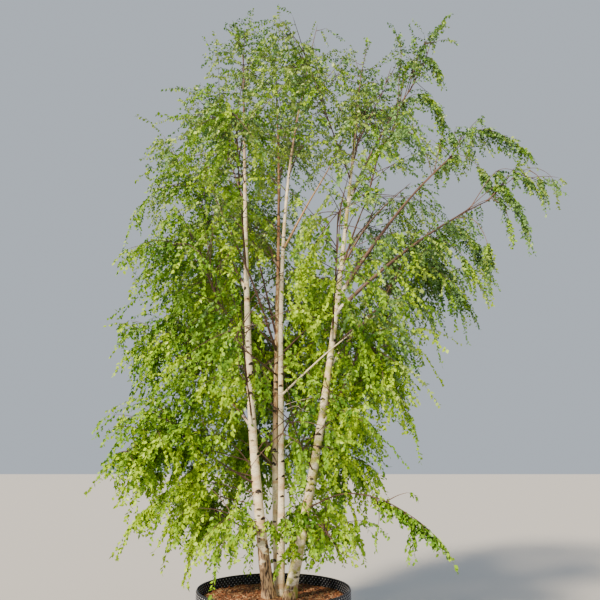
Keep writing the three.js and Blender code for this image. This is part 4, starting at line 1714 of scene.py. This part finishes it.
class Sight:
    """What is seen of the stems and limbs from one eye, past the leaves before them."""

    heights = (0.5, 0.8, 1.0, 1.3, 1.7, 2.4, 4.3, 4.9)
    kept = (0.25, 0.2, 0.2, 0.2, 0.12, 0.08, 0.15, 1.0)  # the share of leaves kept at each height
    kept_at_limb = 0.25
    veiled_over = (2.7, 3.2)
    bough_radius = 15 * MM

    def __init__(self, eye: Array, ahead: Array, leniency: float = 0.0) -> None:
        """Lists the stems and limbs whose view is kept open.

        Args:
            eye: Where the eye is.
            ahead: Which way it looks.
            leniency: How much of what would go stays after all, from 0 to 1.
        """
        self.eye = eye
        self.ahead = unit(ahead)
        self.across = unit(np.cross(self.ahead, UP))
        self.above = np.cross(self.across, self.ahead)
        rows = []
        for stem in STEMS:
            share = np.linspace(0, 0.98, 200)
            points = stem.line.at(share)
            bare = np.interp(points[:, 2], self.heights, self.kept)
            veiled = np.interp(points[:, 2], self.veiled_over, (0, stem.veil))
            rows.append((points, stem.radius_at(share), np.maximum(bare, veiled)))
        boughs = [(mass.bough_line, 0.1, 1, 60, self.bough_radius) for mass in OUTLIERS[:2]]
        limbs = [(limb.line, 0, limb.leafy_from, 30, limb.radius) for limb in LIMBS if limb.guarded]
        for line, start, end, count, radius in boughs + limbs:
            points = line.at(np.linspace(start, end, count))
            rows.append((points, np.full(count, radius), np.full(count, self.kept_at_limb)))
        points, radii, kept = (np.concatenate(column) for column in zip(*rows))
        places, depths = self.picture(points)
        self.guarded = places, depths, radii, kept + leniency * (1 - kept)

    def picture(self, points: Array) -> tuple[Array, Array]:
        """Projects points to the picture.

        Args:
            points: The points.

        Returns:
            The places in the picture, for a picture plane one metre off, and the depths.
        """
        rays = points - self.eye
        depths = rays @ self.ahead
        places = np.stack([rays @ self.across, rays @ self.above], axis=-1)
        return places / depths[:, None], depths


class Crown:
    """Every shoot, twig and leaf of the tree, gathered by kind and by tint."""

    def __init__(self, masses: list[Mass], growth: Growth, leaf: LeafShape) -> None:
        """Starts with bare limbs.

        Args:
            masses: The masses of foliage.
            growth: How they are grown.
            leaf: The leaf.
        """
        self.masses = masses
        self.growth = growth
        self.leaf = leaf
        self.rng = np.random.default_rng(0)
        self.centres = np.array([mass.centre for mass in masses])
        self.sizes = np.array([mass.grown_size for mass in masses])
        slope = math.radians(Studio.camera_pitch)
        ahead = np.array([0.0, math.cos(slope), math.sin(slope)])
        sun = unit(np.array(Studio.key_from))
        self.sights = (
            Sight(np.array(Studio.camera_place), ahead),
            Sight(100 * sun, -sun, leniency=0.3),
        )
        self.shoots = Patch()
        self.twigs = Patch()
        self.leaves = {tint: Patch() for tint in Tint}
        self.low, self.high = (np.array(corner) for corner in CAD_BOX)

    def in_own_space(self, mass: Mass, points: Array) -> Array:
        """Tests which points are nearer this mass's middle than any other's, or almost."""
        distances = np.linalg.norm(points[:, None] - self.centres, axis=-1)
        nearest = distances.min(axis=1) + self.growth.overlap
        return np.linalg.norm(points - mass.centre, axis=-1) <= nearest

    def shoot_lines(self, mass: Mass, leader: Line) -> Array:
        """Draws the side shoots, which share out the mass's space evenly.

        Args:
            mass: The mass.
            leader: Its leading shoot.

        Returns:
            Shoots, points and x, y, z on the three axes.
        """
        growth = self.growth
        size = np.prod(mass.grown_size) ** (1 / 3) / growth.usual_size
        count = max(round(growth.shoots * size**2), growth.least_shoots)
        k = np.arange(count)
        polar = np.arccos(1 - (2 * k + 1) / count)
        bearing = GOLDEN_ANGLE * k + 2 * np.pi * chance(mass.seed, 4)
        shell = np.array(growth.shoot_ends)[k % len(growth.shoot_ends)][:, None]
        ways = np.stack(
            [np.sin(polar) * np.cos(bearing), np.sin(polar) * np.sin(bearing), np.cos(polar)], axis=-1
        )
        ends = mass.centre + shell * ways * mass.grown_size
        for _ in range(growth.times_drawn):
            outside = ~self.in_own_space(mass, ends)
            ends[outside] += growth.drawn_in * (mass.centre - ends[outside])
        ends = np.clip(ends, self.low + growth.edge, self.high - growth.edge)
        path = leader.at(np.linspace(0, 1, growth.leader_places))
        first = growth.first_at_tip if mass.fork is None else growth.first_place
        if mass.bough:
            outer = mass.bough_line.at(np.linspace(*growth.leafy_bough, growth.bough_places))
            first, path = 0, np.concatenate([outer, path])
        lowest = first + (growth.staggered * chance(mass.seed + k, 7)).astype(int)
        gaps = np.linalg.norm(path - ends[:, None], axis=-1)
        earlier = growth.earlier + (growth.staggered * chance(mass.seed + k, 8)).astype(int)
        starts = path[np.clip(gaps.argmin(axis=1) - earlier, lowest, len(path) - 3)]
        reach = np.linalg.norm(ends - starts, axis=-1, keepdims=True)
        arch = growth.shoot_arch - growth.shoot_rise * max(mass.lift, 0)
        middles = (starts + ends) / 2 + arch * reach * UP
        return bowed_lines(starts, middles, ends, growth.shoot_points)

    def twig_lines(self, lift: float, shoots: Array) -> tuple[Array, ...]:
        """Draws the twigs, on alternate sides of each shoot and drooping under their leaves.

        Args:
            lift: How upright they are: up above 0, hanging below 0.
            shoots: The shoots that carry them.

        Returns:
            Twigs, points and x, y, z on the three axes, which of them end a shoot, the shoot that
            carries each and the share of its length where it does.
        """
        growth = self.growth
        upright = max(lift, 0)
        owner, order, count = stations(shoots, growth.twig_step, growth.least_twigs)
        share = growth.twigs_from + (1 - growth.twigs_from) * (order + 1) / count
        roots, stretch = on_lines(shoots, owner, share)
        along = unit(stretch)
        aside = unit(np.cross(along, UP)) * np.where(order % 2, 1, -1)[:, None]
        at_end = order == count - 1
        least, more = growth.twig_lift
        upright_lift, upright_tip_lift = growth.upright_lift
        rise = least + more * self.rng.random(len(owner)) + upright_lift * upright
        rise[at_end] = growth.tip_lift * rise[at_end] + upright_tip_lift * upright
        ahead, sideways, ahead_at_end = growth.twig_heading
        heading = np.where(at_end[:, None], ahead_at_end * along, ahead * along + sideways * aside)
        wander = growth.jitter * self.rng.normal(0, growth.twig_wander, along.shape)
        heading = unit(heading + rise[:, None] * UP + wander)
        length = self.rng.uniform(*growth.twig_length, len(owner)) * np.where(at_end, growth.tip_share, 1)
        steps = np.linspace(0, 1, growth.twig_points)[None, :, None]
        reach = length[:, None, None] * steps
        droop = growth.droop * (1 - upright)
        twigs = roots[:, None] + heading[:, None] * reach - UP * droop * reach * steps
        return twigs, at_end, owner, share

    def leaf_corners(self, twigs: Array) -> tuple[Array, Array]:
        """Places the leaves along the twigs, on alternate sides and hanging.

        Args:
            twigs: The twigs.

        Returns:
            Leaves, corners and x, y, z on the three axes, and the twig that each leaf is on.
        """
        growth = self.growth
        owner, order, on_twig = stations(twigs, growth.leaf_step, growth.least_leaves)
        roots, stretch = on_lines(twigs, owner, (order + 0.8) / on_twig)
        along = unit(stretch)
        aside = unit(np.cross(along, UP + 0.3 * along)) * np.where(order % 2, 1, -1)[:, None]
        count = len(owner)
        ahead, sideways, up = growth.leaf_heading
        loose = self.rng.normal(0, growth.jitter, (count, 3))
        heading = unit(ahead * along + sideways * aside + up * UP + loose)
        upward, uneven = growth.leaf_facing
        across = unit(np.cross(heading, UP * upward + self.rng.normal(0, uneven, (count, 3))))
        normal = np.cross(across, heading)
        outline, _ = self.leaf.outline
        size = 1 - self.leaf.smaller_at_top * np.clip(roots[:, 2] / self.high[2], 0, 1)
        size *= 1 + self.leaf.larger_inside * (1 - np.clip(self.depth_in_crown(roots), 0, 1))
        length = (self.rng.uniform(*self.leaf.length, count) * size)[:, None, None]
        breadth = self.rng.uniform(*self.leaf.breadth, count)[:, None]
        fold = self.rng.uniform(*self.leaf.fold, count)[:, None]
        corners = roots[:, None] + length * (
            across[:, None] * (breadth * outline[:, 0])[..., None]
            + heading[:, None] * outline[:, 1][None, :, None]
            + normal[:, None] * (fold * np.abs(outline[:, 0]))[..., None]
        )
        return corners, owner

    def depth_in_crown(self, points: Array) -> Array:
        """Finds how deep points lie: 0 in the middle of a mass, 1 on the nearest one's wall."""
        gaps = (points[:, None] - self.centres) / self.sizes
        return np.linalg.norm(gaps, axis=-1).min(axis=1)

    def tint_of(self, tips: Array) -> Array:
        """Deals out the greens by spray as painted light and shade: brightest low down and on the outside,
        painted shade higher up, inside and in patches, and paler painted light at the top, cooler away from
        the key light.

        Args:
            tips: Where the sprays end.

        Returns:
            The number of each spray's tint.
        """
        growth = self.growth
        height = (tips[:, 2] - self.low[2]) / (self.high[2] - self.low[2])
        inside = 1 - np.clip(self.depth_in_crown(tips), 0, 1)
        away = (tips[:, 0] - growth.cool_from) / growth.cool_over
        behind = growth.cool_behind * tips[:, 1] / growth.cool_over
        away = np.clip(np.maximum(away, behind), 0, 1)
        patch = smooth_noise(tips / growth.tint_patch, 6.0)
        # Painted shade: darker with height, inside the masses and in patches; the last term is chance.
        shade = (
            growth.darkest
            + growth.painted_shade_up * height
            + growth.painted_shade_inside * inside
            + growth.painted_light_and_shade_patches * patch
            + growth.darker_by_chance * self.rng.normal(0, 1, len(tips))
        )
        plain = len(Tint) - 2
        tint = np.clip((shade * plain).astype(int), 0, plain - 1)
        # Painted light: the paler greens of the sunlit top; painted shade: the cooler of them away from the
        # key light and at the back.
        haze = np.interp(height + growth.hazy_away * away, growth.hazy_heights, (0.0, growth.haziest))
        hazy = self.rng.random(len(tips)) < haze
        least, shaded, turned = growth.cool
        cool = self.rng.random(len(tips)) < least + shaded * shade + turned * away
        return np.where(hazy, plain + cool, tint)

    def in_bunches(self, tips: Array) -> Array:
        """Gathers the twigs in bunches, with sky between them where it shows.

        Args:
            tips: Where the twigs end.

        Returns:
            True for each twig that stays.
        """
        growth = self.growth
        eye = np.array(Studio.camera_place)
        rays = tips - eye
        seen_at = (eye - rays * (eye[1] / rays[:, 1])[:, None])[:, [0, 2]]
        crowding = np.interp(tips[:, 2], growth.heights, growth.crowding)
        high = np.interp(tips[:, 2], growth.thinner_over, (0, 1))
        crowding *= 1 - high * (1 - np.interp(seen_at[:, 0], growth.thinner_right, (1, growth.thinnest)))
        for gap in SKY_GAPS:
            out = np.linalg.norm((seen_at - gap.middle) / gap.half, axis=1)
            crowding *= np.interp(out, growth.gap_edge, (gap.kept, 1.0))
        level = np.interp(crowding, growth.bunch_shares, growth.bunch_levels)
        proud = smooth_noise(tips / np.array(growth.bunch), 3.0) - level
        edge = growth.bunch_edge
        return self.rng.random(len(tips)) < np.interp(proud, (-edge, edge), (0, 1))

    def in_view_past(self, points: Array, margin: float) -> Array:
        """Thins what hangs between the bare limbs and the eye, as the photograph shows them.

        Args:
            points: The points.
            margin: How far beside a limb the view is kept open.

        Returns:
            True for each point that stays.
        """
        stays = np.ones(len(points), bool)
        for sight in self.sights:
            places, depths = sight.picture(points)
            limbs, limb_depths, radii, kept = sight.guarded
            gaps = np.linalg.norm(places[:, None] - limbs, axis=-1) * depths[:, None]
            hides = (gaps < radii + margin) & (depths[:, None] < limb_depths - radii)
            share = np.where(hides, kept, 1.0).min(axis=1)
            stays &= self.rng.random(len(points)) < share
        return stays

    def clear_of_stems(self, points: Array) -> Array:
        """Tests which points are outside the stems.

        Args:
            points: The points.

        Returns:
            True for each point that is clear of every stem.
        """
        clear = np.ones(len(points), bool)
        for stem in STEMS:
            line = stem.line
            shares = np.interp(points[:, 2], line.points[:, 2], line.distances) / line.length
            gap = np.linalg.norm((points - line.at(shares))[:, :2], axis=1)
            beside = (points[:, 2] > GROUND) & (points[:, 2] < stem.tip[2])
            clear &= ~beside | (gap > stem.radius_at(shares) + self.growth.clear)
        return clear

    def add_leaves(self, twigs: Array, guarded: bool) -> None:
        """Adds the leaves of some twigs, a tint to a twig.

        Args:
            twigs: The twigs.
            guarded: Whether the view of the stems is kept open.
        """
        corners, owner = self.leaf_corners(twigs)
        stays = np.all((corners > self.low) & (corners < self.high), axis=(1, 2))
        middles = corners.mean(axis=1)
        stays &= self.clear_of_stems(middles)
        if guarded:
            stays &= self.in_view_past(middles, self.growth.leaf_margin)
        tints = self.tint_of(twigs[:, -1])[owner]
        _, faces = self.leaf.outline
        for number, tint in enumerate(Tint):
            mine = corners[stays & (tints == number)]
            self.leaves[tint].add(mine, copied(faces, len(mine), corners.shape[1]))

    def leaf_out(
        self,
        lift: float,
        shoots: Array,
        reach: float,
        guarded: bool = True,
        twig_share: float = 1.0,
    ) -> Array:
        """Grows the twigs of some shoots and their leaves.

        Args:
            lift: How upright the twigs are.
            shoots: The shoots.
            reach: How far out of the nearest mass a twig may end, as a share of its size.
            guarded: Whether sky gaps and the view of the stems are kept open.
            twig_share: How long the twigs are, as a share of the usual.

        Returns:
            The share of each shoot's length that carries twigs.
        """
        growth = self.growth
        twigs, at_end, owner, share = self.twig_lines(lift, shoots)
        twigs = twigs[:, :1] + twig_share * (twigs - twigs[:, :1])
        furthest = np.where(at_end, max(growth.tip_reach, reach), reach)
        stays = np.all((twigs > self.low) & (twigs < self.high), axis=(1, 2))
        stays &= self.depth_in_crown(twigs[:, -1]) < furthest
        if guarded:
            stays &= self.in_bunches(twigs[:, -1])
        for place in (-1, -2):
            stays &= self.clear_of_stems(twigs[:, place])
            if guarded:
                stays &= self.in_view_past(twigs[:, place], growth.twig_margin)
        if not guarded:
            clumped = smooth_noise(twigs[:, 0] / growth.clump, 9.0) > growth.clump_level
            stays &= clumped | (share > growth.end_clump)
        fullness = np.bincount(owner, stays, len(shoots)) / np.bincount(owner, minlength=len(shoots))
        stays &= fullness[owner] >= growth.barest
        leafy_to = np.zeros(len(shoots))
        np.maximum.at(leafy_to, owner[stays], share[stays])
        if stays.any():
            radii = np.linspace(growth.twig_radius, growth.twig_radius / 2, growth.twig_points)
            self.twigs.add(*pointed_tubes(twigs[stays], radii, 3))
            self.add_leaves(twigs[stays], guarded)
        return leafy_to

    def add_shoots(self, shoots: Array, radii: Array, leafy_to: Array) -> None:
        """Adds the bark of some shoots, each cut off where its last twig stands.

        Args:
            shoots: The shoots.
            radii: Their radius at each point.
            leafy_to: The share of each shoot's length that carries twigs.
        """
        leafy = np.flatnonzero(leafy_to > 0)
        shares = np.outer(leafy_to[leafy], np.linspace(0, ALMOST_ONE, shoots.shape[1]))
        points, _ = on_lines(shoots, leafy[:, None], shares)
        self.shoots.add(*pointed_tubes(points, radii, 4))

    def grow_mass(self, mass: Mass) -> None:
        """Grows a mass from its leader, and along the outer part of its bough.

        Args:
            mass: The mass.
        """
        growth = self.growth
        self.rng = np.random.default_rng(mass.seed)
        leader = mass.leader_line
        lead = leader.at(np.linspace(0, 1, growth.leader_points))[None]
        self.shoots.add(*pointed_tubes(lead, np.linspace(*growth.leader_radii, growth.leader_points), 6))
        outer = leader.at(np.linspace(0.45, 1, growth.shoot_points))[None]
        shoots = self.shoot_lines(mass, leader)
        leafy_to = self.leaf_out(mass.lift, np.concatenate([shoots, outer]), growth.reach)
        radii = np.linspace(*growth.shoot_radii, growth.shoot_points)
        self.add_shoots(shoots, radii, leafy_to[:-1])
        if mass.bough:
            outer = mass.bough_line.at(np.linspace(0.4, 1, 20))[None]
            self.leaf_out(0.0, np.repeat(outer, 2, axis=0), growth.bough_reach)

    def grow_feathers(self, number: int, stem: Stem) -> None:
        """Grows the thin branches between the boughs of a stem, rising and arching over.

        Args:
            number: The stem's number.
            stem: The stem.
        """
        growth = self.growth
        self.rng = np.random.default_rng(200 + number)
        heights = np.arange(growth.feather_from, stem.tip[2] - 0.1, growth.feather_step)
        k = np.arange(len(heights))
        seed = 100 + number
        bearing = GOLDEN_ANGLE * k + 2 * np.pi * chance(seed, 1)
        kept = (np.sin(bearing) > growth.bare_front) | (heights > growth.bare_front_to)
        heights, bearing, k = heights[kept], bearing[kept], k[kept]
        starts = stem.line.at([stem.line.share_at_height(height) for height in heights])
        outward = np.stack([np.cos(bearing), np.sin(bearing), 0 * bearing], axis=-1)
        long, short = growth.feather_length
        share = (heights - heights[0]) / (heights[-1] - heights[0])
        length = ((long + (short - long) * share) * (0.8 + 0.4 * chance(seed + k, 2)))[:, None]
        middles = starts + length * (0.3 * outward + 0.5 * UP)
        ends = starts + length * (0.8 * outward + 0.5 * UP)
        feathers = bowed_lines(starts, middles, ends, growth.shoot_points)
        bare = growth.shoot_points // 3
        leafy_to = self.leaf_out(0.0, feathers[:, bare:], growth.feather_reach)
        bare_share = bare / (growth.shoot_points - 1)
        leafy_to = np.where(leafy_to > 0, bare_share + (1 - bare_share) * leafy_to, 0)
        radii = np.linspace(*growth.shoot_radii, growth.shoot_points) * growth.feather_radius
        self.add_shoots(feathers, radii, leafy_to)

    def grow(self) -> None:
        """Grows every mass, then the branches and limbs between the masses."""
        for mass in self.masses:
            if mass.name != SPRIG.name:  # the sprig is drawn as a limb
                self.grow_mass(mass)
        for number, stem in enumerate(STEMS):
            self.grow_feathers(number, stem)
        for number, limb in enumerate(LIMBS):
            self.rng = np.random.default_rng(300 + number)
            outer = limb.line.at(np.linspace(limb.leafy_from, 1, self.growth.limb_points))[None]
            outer = np.repeat(outer, limb.twigs_together, axis=0)
            self.leaf_out(limb.lift, outer, limb.reach, limb.guarded, limb.twig_share)

    def build(self, twig_material: Material) -> None:
        """Builds the joined pieces and dresses them.

        Args:
            twig_material: The bark of shoots and twigs.
        """
        nodes = [f"foliage_{mass.name}" for mass in self.masses]
        finish_piece(self.shoots.build("shoots"), twig_material, "dark_bark", nodes)
        finish_piece(self.twigs.build("twigs"), twig_material, "dark_bark", nodes)
        for tint, patch in self.leaves.items():
            name = f"leaves_{tint.name.lower()}"
            material = BirchLeaf(f"birch leaf, {tint.name.lower()}", colour=tint.value).material()
            finish_piece(patch.build(name, smooth=False), material, "foliage", nodes)


# Studio


@dataclass(frozen=True)
class StudioFloor(PlainFinish):
    """A matt painted floor: the eye gets an even pale grey."""

    roughness = 0.9
    colour: str = "#BFBFBE"


@dataclass
class Studio:
    """A plain pale floor, soft light and a camera where the photograph was taken from."""

    camera_place: Triple = (0.22, -5.5, 1.65)
    camera_pitch: float = 14.75  # degrees above level
    lens: float = 36.0
    floor_half: float = 60.0
    sky_colour: str = "#DCE6F2"
    sky_strength: float = 0.7
    key_strength: float = 8.6
    key_colour: str = "#FFEACB"
    key_angle: float = 9.0
    key_from: Triple = (-0.55, -0.75, 0.62)

    def build(self) -> None:
        """Builds the floor, the lights and the camera."""
        self.build_floor()
        self.build_lights()
        self.build_camera()

    def build_floor(self) -> None:
        """Lays the floor."""
        half = self.floor_half
        corners = np.array([[-half, -half, 0], [half, -half, 0], [half, half, 0], [-half, half, 0]])
        floor = Patch(corners, np.arange(4)[None, :]).build("floor", smooth=False)
        floor.data.materials.append(StudioFloor("matt studio floor").material())

    def build_lights(self) -> None:
        """Hangs the key light and fills the room with a soft pale glow."""
        world = bpy.data.worlds.new("studio")
        world.use_nodes = True
        glow = world.node_tree.nodes["Background"]
        glow.inputs["Color"].default_value = linear(self.sky_colour)
        glow.inputs["Strength"].default_value = self.sky_strength
        bpy.context.scene.world = world
        key = bpy.data.lights.new("key", "SUN")
        key.energy = self.key_strength
        key.color = linear(self.key_colour)[:3]
        key.angle = math.radians(self.key_angle)
        lamp = bpy.data.objects.new("key", key)
        back = math.hypot(self.key_from[0], self.key_from[1])
        lamp.rotation_euler = (
            math.atan2(back, self.key_from[2]),
            0,
            math.atan2(self.key_from[1], self.key_from[0]) + math.pi / 2,
        )
        bpy.context.scene.collection.objects.link(lamp)

    def build_camera(self) -> None:
        """Sets up the camera."""
        lens = bpy.data.cameras.new("camera")
        lens.lens = self.lens
        lens.sensor_width = 36.0
        camera = bpy.data.objects.new("camera", lens)
        camera.location = self.camera_place
        camera.rotation_euler = (math.radians(90 + self.camera_pitch), 0, 0)
        bpy.context.scene.collection.objects.link(camera)
        bpy.context.scene.camera = camera


def main() -> None:
    """Builds the dressed tree and its studio."""
    logging.basicConfig(level=logging.INFO, format="%(name)s: %(message)s")
    Studio().build()
    Container().build()
    MulchBed().build()
    for stem in STEMS:
        StemSkin(stem).build()
    masses = list(MASSES.values())
    bough_bark = YoungBark("smooth bough bark").material()
    for mass in masses:
        if mass.bough:
            BoughSkin(mass, bough_bark).build()
    LimbSkin(masses).build()
    crown = Crown(masses, Growth(), LeafShape())
    crown.grow()
    crown.build(YoungBark("young twig bark", deep="#43302B", pale="#6E514A").material())


if __name__ == "__main__":
    main()
